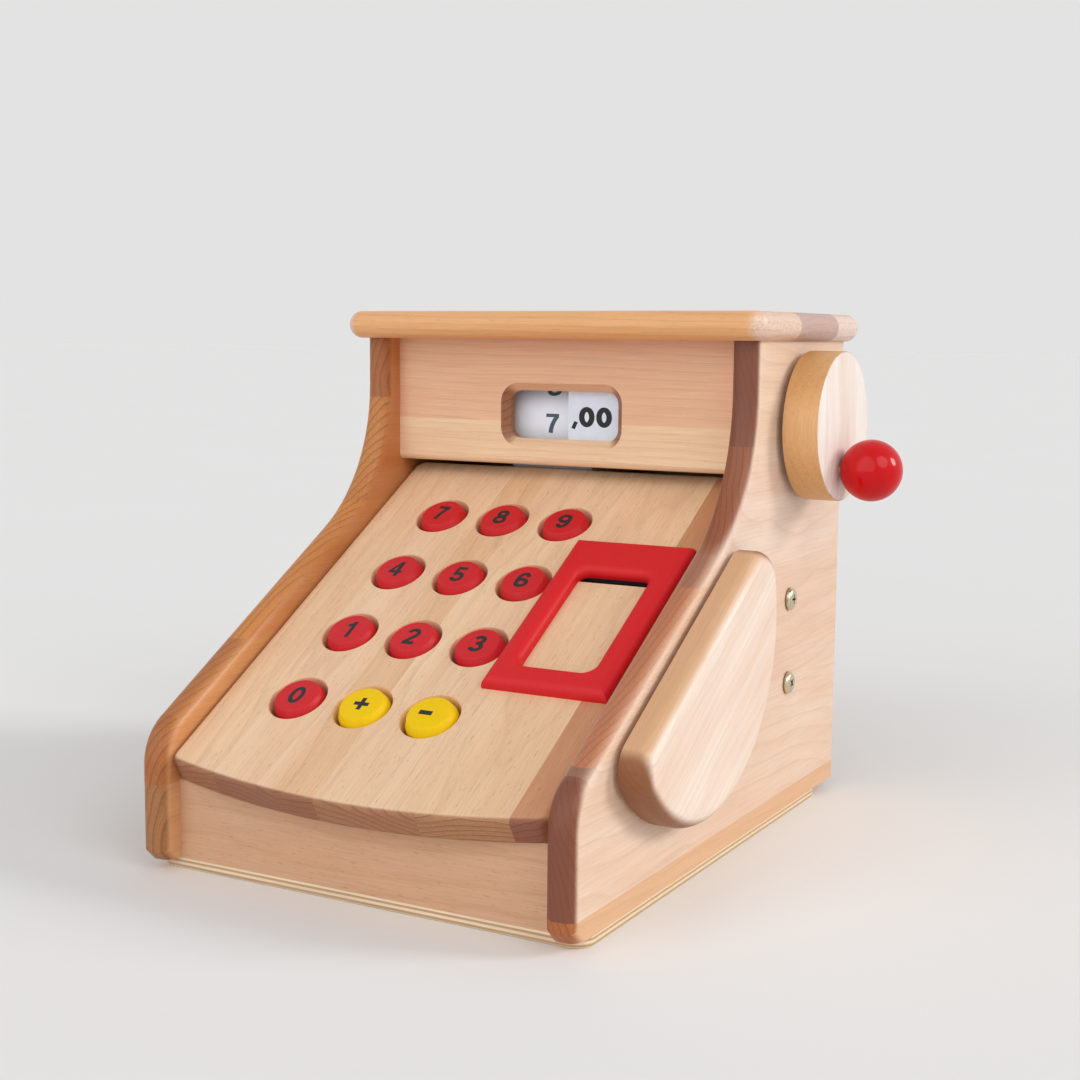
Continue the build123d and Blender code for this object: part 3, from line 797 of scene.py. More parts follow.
def turned(
    name: str, profile: Sequence[Point], centre: Vector, axis: Vector,
    segments: int = 96, hollow: bool = False,
) -> bpy.types.Mesh:
    """Turn a profile about an axis, as on a lathe.

    Args:
        name: the mesh's name.
        profile: radius and height of each point in mm, from one end of the axis to the other.
        centre: where height 0 lies, in metres.
        axis: direction of the height.
        segments: facets round the axis.
        hollow: the profile is a loop that stays off the axis, for a ring.

    Returns:
        A closed mesh.
    """
    form = bmesh.new()
    frame_of = axis.to_track_quat("Z", "Y").to_matrix()
    rings: list[list[bmesh.types.BMVert]] = []
    for radius, height in profile:
        if radius < ON_AXIS:
            rings.append([form.verts.new(centre + frame_of @ Vector((0, 0, height * MM)))])
            continue
        rings.append([
            form.verts.new(centre + frame_of @ (Vector((
                radius * math.cos(math.tau * i / segments),
                radius * math.sin(math.tau * i / segments),
                height,
            )) * MM))
            for i in range(segments)
        ])
    for low, high in zip(rings, rings[1:] + (rings[:1] if hollow else [])):
        for i in range(segments):
            j = (i + 1) % segments
            corners = [low[i % len(low)], low[j % len(low)], high[j % len(high)], high[i % len(high)]]
            distinct = list(dict.fromkeys(corners))
            if len(distinct) > 2:
                form.faces.new(distinct)
    bmesh.ops.recalc_face_normals(form, faces=form.faces)
    mesh = bpy.data.meshes.new(name)
    form.to_mesh(mesh)
    form.free()
    return mesh


def arc(centre: Point, radius: float, start: float, end: float, steps: int) -> list[Point]:
    """Points of an arc in a profile, both ends included.

    Args:
        centre: radius and height of its centre in mm.
        radius: its own radius in mm.
        start: where it starts, in degrees.
        end: where it ends, in degrees.
        steps: facets in it.

    Returns:
        Radius and height of each point.
    """
    angles = [math.radians(start + (end - start) * i / steps) for i in range(steps + 1)]
    return [(centre[0] + radius * math.cos(a), centre[1] + radius * math.sin(a)) for a in angles]


def eased(corners: Sequence[Triple], steps: int = 6) -> list[Point]:
    """Round the corners of a profile.

    Args:
        corners: radius, height and rounding of each corner, all in mm.
        steps: facets in each rounded corner.

    Returns:
        Radius and height of each point.
    """
    points: list[Point] = []
    for number, (radius, height, soft) in enumerate(corners):
        if soft <= 0.0:
            points.append((radius, height))
            continue
        here = Vector((radius, height))
        before = (Vector(corners[number - 1][:2]) - here).normalized()
        after = (Vector(corners[(number + 1) % len(corners)][:2]) - here).normalized()
        half = before.angle(after) / 2
        middle = here + (before + after).normalized() * soft / math.sin(half)
        first = here + before * soft / math.tan(half) - middle
        last = here + after * soft / math.tan(half) - middle
        points += [tuple(middle + first.slerp(last, step / steps)) for step in range(steps + 1)]
    return points


@dataclass(frozen=True)
class Stroke:
    """One stroke of a character: its centre line in a box one unit high, and its width."""

    points: tuple[Point, ...]
    width: float = 0.19
    closed: bool = False


def bow(
    x: float, y: float, reach: float, rise: float, start: float = 0.0, end: float = 342.0,
    steps: int = 19,
) -> tuple[Point, ...]:
    """Points of an elliptic bow; the full one stops a step short, for a closed stroke.

    Args:
        x: its middle, to the right.
        y: its middle, upwards.
        reach: half its width.
        rise: half its height.
        start: where it starts, in degrees.
        end: where it ends, in degrees.
        steps: straight pieces in it.

    Returns:
        The points.
    """
    angles = [math.radians(start + (end - start) * i / steps) for i in range(steps + 1)]
    return tuple((x + reach * math.cos(a), y + rise * math.sin(a)) for a in angles)


# a digit stands in a box 0.67 wide and 1 high, and a sign in a square one
BOX_WIDTH = 0.67
SIX = (
    Stroke(bow(0.335, 0.315, 0.235, 0.22), closed=True),
    Stroke(bow(0.335, 0.5, 0.24, 0.405, 32.0, 195.0)),
)
CHARACTERS: dict[str, tuple[Stroke, ...]] = {
    "0": (Stroke(bow(0.335, 0.5, 0.235, 0.405), closed=True),),
    "1": (Stroke(((0.4, 0.0), (0.4, 1.0))), Stroke(((0.4, 0.93), (0.3, 0.81), (0.12, 0.72)), 0.16)),
    "2": (
        Stroke(bow(0.325, 0.69, 0.22, 0.215, 175.0, -35.0) + ((0.3, 0.31), (0.14, 0.13))),
        Stroke(((0.04, 0.09), (0.61, 0.09))),
    ),
    "3": (
        Stroke(bow(0.315, 0.725, 0.2, 0.18, 165.0, -90.0)),
        Stroke(bow(0.315, 0.305, 0.235, 0.21, 90.0, -168.0)),
        Stroke(((0.22, 0.53), (0.34, 0.53)), 0.16),
    ),
    "4": (
        Stroke(((0.46, 0.0), (0.46, 1.0))), Stroke(((0.42, 0.93), (0.09, 0.34)), 0.15),
        Stroke(((0.02, 0.3), (0.66, 0.3)), 0.17),
    ),
    "5": (
        Stroke(((0.14, 0.91), (0.6, 0.91)), 0.18), Stroke(((0.2, 0.97), (0.14, 0.44)), 0.16),
        Stroke(bow(0.32, 0.325, 0.235, 0.23, 140.0, -165.0)),
    ),
    "6": SIX,
    "7": (
        Stroke(((0.04, 0.91), (0.63, 0.91)), 0.18),
        Stroke(((0.55, 0.87), (0.42, 0.66), (0.32, 0.42), (0.26, 0.2), (0.23, 0.0))),
    ),
    "8": (
        Stroke(bow(0.335, 0.73, 0.2, 0.175), closed=True),
        Stroke(bow(0.335, 0.3, 0.235, 0.205), closed=True),
    ),
    "9": tuple(
        Stroke(tuple((BOX_WIDTH - x, 1.0 - y) for x, y in part.points), part.width, part.closed)
        for part in SIX
    ),
    ",": (Stroke(((0.19, 0.24), (0.05, -0.13)), 0.13),),
    "+": (Stroke(((0.0, 0.5), (1.0, 0.5)), 0.28), Stroke(((0.5, 0.0), (0.5, 1.0)), 0.28)),
    "-": (Stroke(((0.0, 0.5), (1.0, 0.5)), 0.4),),
}
# widths from one character to the next, and what a heavier stroke adds to them
ADVANCE = 0.73
COMMA_ADVANCE = 0.28
WEIGHT_ADVANCE = 0.2
# half the film of ink in mm, and how much higher each next stroke lies where they cross
INK_HALF = 0.02
INK_STEP = 0.002
SHARPEST_MITRE = 0.3


def lay_stroke(
    form: bmesh.types.BMesh, stroke: Stroke, shift: float, low: float, high: float, weight: float
) -> None:
    """Add one stroke to a mesh as a flat bar with mitred bends.

    Args:
        form: the mesh in the making.
        stroke: the stroke.
        shift: how far the character stands to the right.
        low: height of the bar's underside.
        high: height of its face.
        weight: times the stroke's drawn width.
    """
    line = [Vector(point) for point in stroke.points]
    count = len(line)
    posts = []
    for number, here in enumerate(line):
        before = line[number - 1] if number or stroke.closed else None
        after = line[(number + 1) % count] if number < count - 1 or stroke.closed else None
        ways = [(here - before).normalized()] if before else []
        ways += [(after - here).normalized()] if after else []
        way = sum(ways, Vector((0.0, 0.0))).normalized()
        mitre = max(way.dot(ways[0]), SHARPEST_MITRE)
        out = Vector((-way.y, way.x)) * stroke.width * weight / 2 / mitre
        posts.append([
            form.verts.new((spot.x + shift, spot.y, level))
            for spot, level in (
                (here + out, low), (here - out, low), (here - out, high), (here + out, high)
            )
        ])
    for near, far in zip(posts, posts[1:] + (posts[:1] if stroke.closed else [])):
        for corner in range(4):
            form.faces.new((near[corner], far[corner], far[corner - 3], near[corner - 3]))
    if not stroke.closed:
        form.faces.new(posts[0])
        form.faces.new(posts[-1])


def printed(
    name: str, words: str, height: float, place: Matrix, width: Optional[float] = None,
    weight: float = 1.0,
) -> bpy.types.Mesh:
    """Printed characters as a film of ink about 0.04 mm thick.

    Args:
        name: the mesh's name.
        words: the characters.
        height: full height of the characters in mm.
        place: matrix that takes the centred, upright characters to the surface.
        width: full width in mm, where it isn't the drawn one.
        weight: times the strokes' drawn width.

    Returns:
        A mesh in the row frame.
    """
    form = bmesh.new()
    shift = 0.0
    for letter in words:
        for number, stroke in enumerate(CHARACTERS[letter]):
            lay_stroke(form, stroke, shift, -INK_HALF, INK_HALF + INK_STEP * number, weight)
        shift += WEIGHT_ADVANCE * (weight - 1.0) + (COMMA_ADVANCE if letter == "," else ADVANCE)
    low = [min(v.co[i] for v in form.verts) for i in (0, 1)]
    high = [max(v.co[i] for v in form.verts) for i in (0, 1)]
    tall = height * MM / (high[1] - low[1])
    wide = tall if width is None else width * MM / (high[0] - low[0])
    middle = Vector(((low[0] + high[0]) / 2, (low[1] + high[1]) / 2, 0.0))
    form.transform(place @ Matrix.Diagonal((wide, tall, MM, 1.0)) @ Matrix.Translation(-middle))
    bmesh.ops.recalc_face_normals(form, faces=form.faces)
    mesh = bpy.data.meshes.new(name)
    form.to_mesh(mesh)
    form.free()
    return mesh


def facing(origin: Vector, right: Vector, up: Vector) -> Matrix:
    """Matrix that lays upright characters on a surface.

    Args:
        origin: middle of the characters.
        right: the way they read.
        up: their upright.

    Returns:
        The placing matrix.
    """
    out = right.cross(up)
    turn = Matrix((right, up, out)).transposed().to_4x4()
    return Matrix.Translation(origin) @ turn


# --- The case ----------------------------------------------------------------------------


@dataclass
class Case:
    """Boards of the case, the swipe board, the printed plate and the side screws."""

    half_width: float = 127.5
    screw_y: float = 87.65
    screw_heights: Point = (80.7, 129.6)
    head_radius: float = 6.5
    head_height: float = 3.2
    head_round: float = 2.4
    head_ease: float = 0.12
    head_flat: float = 1.5
    head_sink: float = 0.02
    crown_angle: float = 80.0
    crown_facets: int = 8
    shank_radius: float = 2.5
    shank_length: float = 40.0
    tip_length: float = 2.5
    screw_facets: int = 48
    crisp_angle: float = 28.0
    # the cross recess: one arm at the top, and how far it narrows along and across to its floor
    recess_size: Triple = (6.6, 1.25, 3.6)
    recess_narrows: Point = (0.62, 0.8)
    recess_sink: float = 0.1
    driving_seed: int = 5
    plate_face_y: float = 53.2
    ink_lift: float = 0.03
    cents_x: Point = (3.0, 29.6)
    cents_z: Point = (224.4, 237.7)
    cents_weight: float = 1.35
    # a face whose normal points at least this far to the left is on the left side's outside
    outer_face: float = 0.7

    def dress_boards(self) -> None:
        """Give every board of the case its own run of wood."""
        pale = ("#E9C6A0", "#E4BC92", "#ECCBA8", "#E6C096")
        # painted shade: the left side's stave tones are darker and oranger than the wood, for the shade
        # on its inner face
        left = VarnishedAlder(
            "alder_side_left", Grain.SIDE, (6, 276.6), (47, 113, 180, 241),
            ("#DCA672", "#CE9058", "#C88248", "#C27A42", "#C68048"),
            ("#AE7442", "#B46A32", "#DA8C42", "#CE8644", "#B06A38"),
            seed=7.7, ring=4.4, ribs=0.75, flecks=0.2,
        )
        runs: tuple[tuple[Finish, tuple[str, ...]], ...] = (
            (VarnishedAlder(
                "alder_side_right", Grain.SIDE, (6, 276.6), (17, 84, 152, 220),
                ("#DEB28A", "#E7CBB4", "#E4C4AC", "#EAD1BE", "#EAD1BA"),
                ("#B46230", "#7C3818", "#BC6224", "#944A20", "#783820"),
                seed=3.1, ring=3.2, ribs=0.8, flecks=0.12, line_amount=0.2,
            ), ("side_right",)),
            (left, ("side_left",)),
            # painted reflection: the pale tones of the top board's end grain stand for the sheen of the
            # light from the right; its darker middle is the wood's heart
            (VarnishedAlder(
                "alder_top", Grain.TOP, (17, 183), (76, 138),
                ("#E9AF74", "#C2927E", "#E8BC92"), ("#EECFBA", "#CDACA0", "#EED6C8"),
                seed=11.3, ring=4.0, spread=60.0, ribs=0.2, line_amount=0.42,
            ), ("top_board",)),
            (VarnishedAlder(
                "alder_display", Grain.FRONT, (203, 277), (228.5,), ("#F2D2AC", "#E8BB98"),
                seed=17.9, ring=4.5, flecks=0.15, line_amount=0.26,
            ), ("display_panel",)),
            # painted shade: the front board's tone is the wood's, darkened for the dim light on the front
            # face
            (VarnishedAlder(
                "alder_front", Grain.FRONT, (6, 60), (), ("#D0A684",), seed=23.2, ring=5.0, flecks=0.4,
            ), ("front_board",)),
            (VarnishedAlder(
                "alder_back", Grain.FRONT, (6, 277), (70, 140, 205), pale, seed=29.4,
            ), ("back_panel",)),
            (VarnishedAlder(
                "alder_wall", Grain.FRONT, (6, 150), (80,), pale, seed=31.8,
            ), ("inner_wall", "crank_washer")),
            # painted shade: the swipe board's edge tone and its end grain are darkened for the sides that
            # face away from the light; end grain is darker of itself too
            (VarnishedAlder(
                "alder_swipe", Grain.PADDLE, (-90, 10), (-38,), ("#EFDAC6", "#F0DCCC"), ("#8A4E20",),
                seed=37.5, ring=3.0, line_amount=0.16, ribs=0.35, flecks=0.1, edge="#CE9A66",
            ), ("swipe_board", "swipe_packer")),
            (BirchPlywood("birch_plywood_base", (0.0, 0.0, 1.0), 0.0), ("base_plate",)),
            (BirchPlywood("birch_plywood_divider_long", (1.0, 0.0, 0.0), -3.0), ("tray_divider_long",)),
            (BirchPlywood("birch_plywood_divider_cross", (0.0, 1.0, 0.0), -36.0),
             ("tray_divider_cross",)),
        )
        for finish, nodes in runs:
            material = finish.build()
            for node in nodes:
                dress(node, material)
        # the left side's staves are darker and oranger within, as painted shade; its outside faces get
        # paler staves
        outer = replace(
            left, name="alder_side_left_outer",
            staves=("#E0B48C", "#E4BE9A", "#E0B890", "#E5C09C", "#E2BC98"),
        )
        panel = frame["nodes"]["side_left"].data
        panel.materials.append(outer.build())
        for face in panel.polygons:
            if face.normal.x < -self.outer_face:
                face.material_index = 1

    def print_cents(self, card: bpy.types.Material, ink: bpy.types.Material) -> None:
        """Dress the fixed plate and print the comma and noughts on it.

        Args:
            card: the plate's white.
            ink: the printing ink.
        """
        dress("cents_plate", card)
        width = self.cents_x[1] - self.cents_x[0]
        height = self.cents_z[1] - self.cents_z[0]
        face_y = self.plate_face_y - self.ink_lift
        middle = Vector((sum(self.cents_x) / 2, face_y, sum(self.cents_z) / 2)) * MM
        place = facing(middle, RIGHT, UP)
        mesh = printed("cents_numerals", ",00", height, place, width, self.cents_weight)
        settle("cents_numerals", mesh, "cabinet", ink)

    def recess_cutter(self) -> bpy.types.Object:
        """Make the tapered cross that cuts a screw's recess.

        Returns:
            The cross, not yet in the scene.
        """
        form = bmesh.new()
        for turn in (0.0, math.pi / 2):
            for vertex in bmesh.ops.create_cube(form, size=1.0)["verts"]:
                along, across = self.recess_narrows if vertex.co.z < 0 else (1.0, 1.0)
                spot = Vector((
                    vertex.co.x * self.recess_size[0] * along,
                    vertex.co.y * self.recess_size[1] * across,
                    vertex.co.z * self.recess_size[2] + self.head_height - self.recess_sink,
                ))
                vertex.co = Matrix.Rotation(turn, 3, "Z") @ spot * MM
        mesh = bpy.data.meshes.new("recess_cutter")
        form.to_mesh(mesh)
        form.free()
        return bpy.data.objects.new("recess_cutter", mesh)

    def screw(self) -> bpy.types.Object:
        """Make one pan-head screw along Z, its seat at the origin.

        Returns:
            The screw, as a pattern for the others.
        """
        top = self.head_height
        profile = [(0.0, top), (self.head_flat, top - self.head_sink)]
        crown = (self.head_radius - self.head_round, top - self.head_round)
        profile += arc(crown, self.head_round, self.crown_angle, 0.0, self.crown_facets)
        profile += [
            (self.head_radius, self.head_ease), (self.head_radius - self.head_ease, 0.0),
            (self.shank_radius, 0.0), (self.shank_radius, self.tip_length - self.shank_length),
            (0.0, -self.shank_length),
        ]
        blank = turned("screw_blank", profile, ORIGIN, UP, self.screw_facets)
        head = bpy.data.objects.new("screw_blank", blank)
        cutter = self.recess_cutter()
        for item in (head, cutter):
            bpy.context.scene.collection.objects.link(item)
        cut = head.modifiers.new("recess", "BOOLEAN")
        cut.object = cutter
        cut.operation = "DIFFERENCE"
        cut.solver = "EXACT"
        cut.use_self = True
        bpy.context.view_layer.update()
        depsgraph = bpy.context.evaluated_depsgraph_get()
        cut_mesh = bpy.data.meshes.new_from_object(head.evaluated_get(depsgraph))
        bpy.data.objects.remove(head)
        bpy.data.objects.remove(cutter)
        finished = bpy.data.objects.new("screw_pattern", cut_mesh)
        bpy.context.scene.collection.objects.link(finished)
        return finished

    def screw_tree(self) -> tuple[bpy.types.NodeTree, dict[str, str]]:
        """Make the node tree that sets a screw on each seat, with a random turn of its recess.

        Returns:
            The tree and the identifiers of its inputs.
        """
        tree, names, given = geometry_tree("seat_screws", {
            "Screw": "NodeSocketObject", "Metal": "NodeSocketMaterial", "Driving Seed": "NodeSocketInt",
        })
        info = add(tree, "GeometryNodeObjectInfo", {"Object": given.outputs["Screw"]})
        side = add(tree, "GeometryNodeInputNamedAttribute", {"Name": "side"}, data_type="FLOAT")
        # the screw's Z turns to +X or -X
        tip = add(tree, "ShaderNodeMath", {0: side, 1: math.pi / 2}, operation="MULTIPLY")
        lean = add(tree, "ShaderNodeCombineXYZ", {1: tip})
        spin = add(tree, "FunctionNodeRandomValue",
                   {2: 0.0, 3: math.pi / 2, "Seed": given.outputs["Driving Seed"]}, data_type="FLOAT")
        about = add(tree, "ShaderNodeCombineXYZ", {2: spin})
        first = add(tree, "FunctionNodeEulerToRotation", {0: about})
        second = add(tree, "FunctionNodeEulerToRotation", {0: lean})
        whole = add(tree, "FunctionNodeRotateRotation", {0: second, 1: first}, rotation_space="LOCAL")
        put = add(tree, "GeometryNodeInstanceOnPoints", {
            "Points": given.outputs["Geometry"], "Instance": info.outputs["Geometry"],
            "Rotation": whole,
        })
        real = add(tree, "GeometryNodeRealizeInstances", {0: put})
        coated = add(tree, "GeometryNodeSetMaterial",
                     {"Geometry": real, "Material": given.outputs["Metal"]})
        add(tree, "NodeGroupOutput", {0: coated})
        return tree, names

    def drive_screws(self, metal: bpy.types.Material) -> None:
        """Set the four side screws and dress the lid's pins in the same metal.

        Args:
            metal: the screws' and pins' finish.
        """
        pattern = self.screw()
        seats = bpy.data.meshes.new("side_screws")
        places = [
            (side, Vector((side * self.half_width, self.screw_y, height)) * MM)
            for side in (1.0, -1.0)
            for height in self.screw_heights
        ]
        seats.from_pydata([place for _, place in places], [], [])
        sides = seats.attributes.new("side", "FLOAT", "POINT")
        sides.data.foreach_set("value", [side for side, _ in places])
        tree, names = self.screw_tree()
        mesh = grown("side_screws", seats, tree, {
            names["Screw"]: pattern, names["Metal"]: metal, names["Driving Seed"]: self.driving_seed,
        })
        bpy.data.objects.remove(pattern)
        settle("side_screws", mesh, "cabinet", metal,
               ("side_screws_left", "side_screws_right"), self.crisp_angle)
        dress("lid_pins", metal)


# --- The lid and its keys ----------------------------------------------------------------


@dataclass
class KeyboardLid:
    """Keyboard board, red card frame, key backing and the sponge rings under the keys."""

    pad_radius: float = 13.0
    pad_hole: float = 5.0
    pad_top: float = -20.6
    pad_thick: float = 8.0
    pad_round: float = 0.9
    pad_facets: int = 48
    travel_keep: float = 0.64
    slot_s: Point = (76.8, 80.8)
    slot_left_x: float = 48.9
    hole_radius: float = 16.0
    # a face is an opening's wall if it lies this close to its drawn place in mm, and if its
    # normal points no further than this off the board
    wall_margin: float = 0.3
    wall_tilt: float = 0.3
    backing_under: float = 34.6

    def line_openings(
        self, keys: Iterable[Point], slot_shade: bpy.types.Material, sanded: bpy.types.Material
    ) -> None:
        """Paint shade on the walls of the card slot and light on the walls of the key holes, as their own
        finishes.

        Args:
            keys: x of each key and its distance down the slope, in mm.
            slot_shade: painted shade for the slot's walls, a near-black tone.
            sanded: painted light for the holes' walls, a pale warm tone.
        """
        board = frame["nodes"]["keyboard_lid"].data
        shaded_slot_wall = len(board.materials)
        board.materials.append(slot_shade)
        lit_hole_wall = len(board.materials)
        board.materials.append(sanded)
        low, high = self.slot_s
        margin = self.wall_margin
        for face in board.polygons:
            if abs(face.normal.dot(OFF)) > self.wall_tilt:
                continue
            x = face.center.x / MM
            s = (face.center - SLOPE_ORIGIN).dot(DOWN) / MM
            if any(math.hypot(x - key_x, s - key_s) < self.hole_radius + margin for key_x, key_s in keys):
                # painted light on the key holes' walls
                face.material_index = lit_hole_wall
            elif low - margin < s < high + margin and x > self.slot_left_x - margin:
                # painted shade on the slot's walls
                face.material_index = shaded_slot_wall

    def dress_boards(self, red: bpy.types.Material) -> None:
        """Dress the lid's boards.

        Args:
            red: the card frame's lacquer.
        """
        keyboard = VarnishedAlder(
            "alder_keyboard", Grain.SLOPING, (-110.5, 110.5), (-78, -37.3, -12.6, 45, 93),
            ("#EDC8A2", "#EFCCA8", "#E5BD94", "#EFCDA8", "#EDC9A2", "#C88E66"),
            ("#A86C4C", "#9A6044", "#9E6244", "#AE744E", "#B68056", "#905640"),
            seed=41.7, ring=3.4, end_from=106.0, ribs=0.8, flecks=0.4, line_amount=0.22,
        ).build()
        batten = VarnishedAlder("alder_batten", Grain.SLOPING, (-90, 45), seed=43.3).build()
        under = OFF.dot(SLOPE_ORIGIN) * TO_MM - self.backing_under
        backing = BirchPlywood("birch_plywood_backing", tuple(OFF), under).build()
        dress("keyboard_lid", keyboard)
        dress("card_frame", red)
        dress("key_batten_left", batten)
        dress("key_batten_right", batten)
        dress("key_backing", backing)

    def lay_pads(self, keys: Mapping[str, Point], sponge: bpy.types.Material) -> None:
        """Lay a sponge ring under each key.

        Args:
            keys: key name to its x and its distance down the slope in mm.
            sponge: the sponge rubber.
        """
        low = self.pad_top - self.pad_thick
        corners = (
            (self.pad_hole, low, 0.0), (self.pad_hole, self.pad_top, self.pad_round),
            (self.pad_radius, self.pad_top, self.pad_round), (self.pad_radius, low, 0.0),
        )
        for name, (x, s) in keys.items():
            centre = slope_point(x, s, 0.0)
            mesh = turned("pad_" + name, eased(corners), centre, OFF, self.pad_facets, True)
            pad = settle(
                "pad_" + name, mesh, "keyboard_lid", sponge, ("key_pad_" + name,)
            )
            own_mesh(pad)


@dataclass
class Keys:
    """The twelve turned keys and their printed signs."""

    names: tuple[str, ...] = ("7", "8", "9", "4", "5", "6", "1", "2", "3", "0", "plus", "minus")
    columns: int = 3
    first_x: float = -63.4
    first_s: float = 31.5
    pitch_x: float = 41.0
    pitch_s: float = 54.3
    radius: float = 14.9
    crown_radius: float = 11.7
    crown_round: float = 1.0
    shoulder: float = 4.2
    shoulder_round: float = 2.0
    proud: float = 2.0
    flange_radius: float = 18.5
    flange_top: float = -16.3
    flange_under: float = -20.3
    stem_radius: float = 4.0
    stem_end: float = -36.1
    soft_edge: float = 0.3
    ink_lift: float = 0.03
    digit_height: float = 12.8
    plus_height: float = 8.8
    minus_size: Point = (7.6, 3.0)
    minus_left: float = 2.0

    def places(self) -> dict[str, Point]:
        """Find where each key stands.

        Returns:
            Each key's name with its x and its distance down the slope, in mm.
        """
        return {
            name: (
                self.first_x + (i % self.columns) * self.pitch_x,
                self.first_s + (i // self.columns) * self.pitch_s,
            )
            for i, name in enumerate(self.names)
        }

    def profile(self) -> list[Point]:
        """Draw a key's outline, from its crown to the end of its stem.

        Returns:
            Radius and height of each point.
        """
        soft = self.soft_edge
        return eased((
            (0.0, self.proud, 0.0), (self.crown_radius, self.proud, self.crown_round),
            (self.radius, self.proud - self.shoulder, self.shoulder_round),
            (self.radius, self.flange_top, 0.0),
            (self.flange_radius, self.flange_top, soft), (self.flange_radius, self.flange_under, soft),
            (self.stem_radius, self.flange_under, 0.0), (self.stem_radius, self.stem_end, soft),
            (0.0, self.stem_end, 0.0),
        ))

    def sign(self, name: str, place: Matrix) -> bpy.types.Mesh:
        """Print a key's digit or sign.

        Args:
            name: the key's name.
            place: matrix that takes it to the middle of the crown.

        Returns:
            The printed mesh.
        """
        label = "key_sign_" + name
        if name == "minus":
            width, height = self.minus_size
            aside = Matrix.Translation((-self.minus_left * MM, 0, 0))
            return printed(label, "-", height, place @ aside, width)
        if name == "plus":
            return printed(label, "+", self.plus_height, place)
        return printed(label, name, self.digit_height, place)

    def turn(
        self, red: bpy.types.Material, yellow: bpy.types.Material, ink: bpy.types.Material
    ) -> None:
        """Turn the caps and print a digit or sign on each.

        Args:
            red: lacquer of the digits' keys.
            yellow: lacquer of plus and minus.
            ink: the printing ink.
        """
        profile = self.profile()
        for name, (x, s) in self.places().items():
            body = "key_" + name
            slot, lacquer = (
                ("yellow_key_lacquer", yellow) if name in ("plus", "minus") else ("red_key_lacquer", red)
            )
            mesh = turned("key_cap_" + name, profile, slope_point(x, s, 0.0), OFF)
            settle("key_cap_" + name, mesh, body, lacquer, (body,))
            place = facing(slope_point(x, s, self.proud + self.ink_lift), RIGHT, -DOWN)
            settle("key_sign_" + name, self.sign(name, place), body, ink)


# --- The crank and the number drum ----------------------------------------------------------


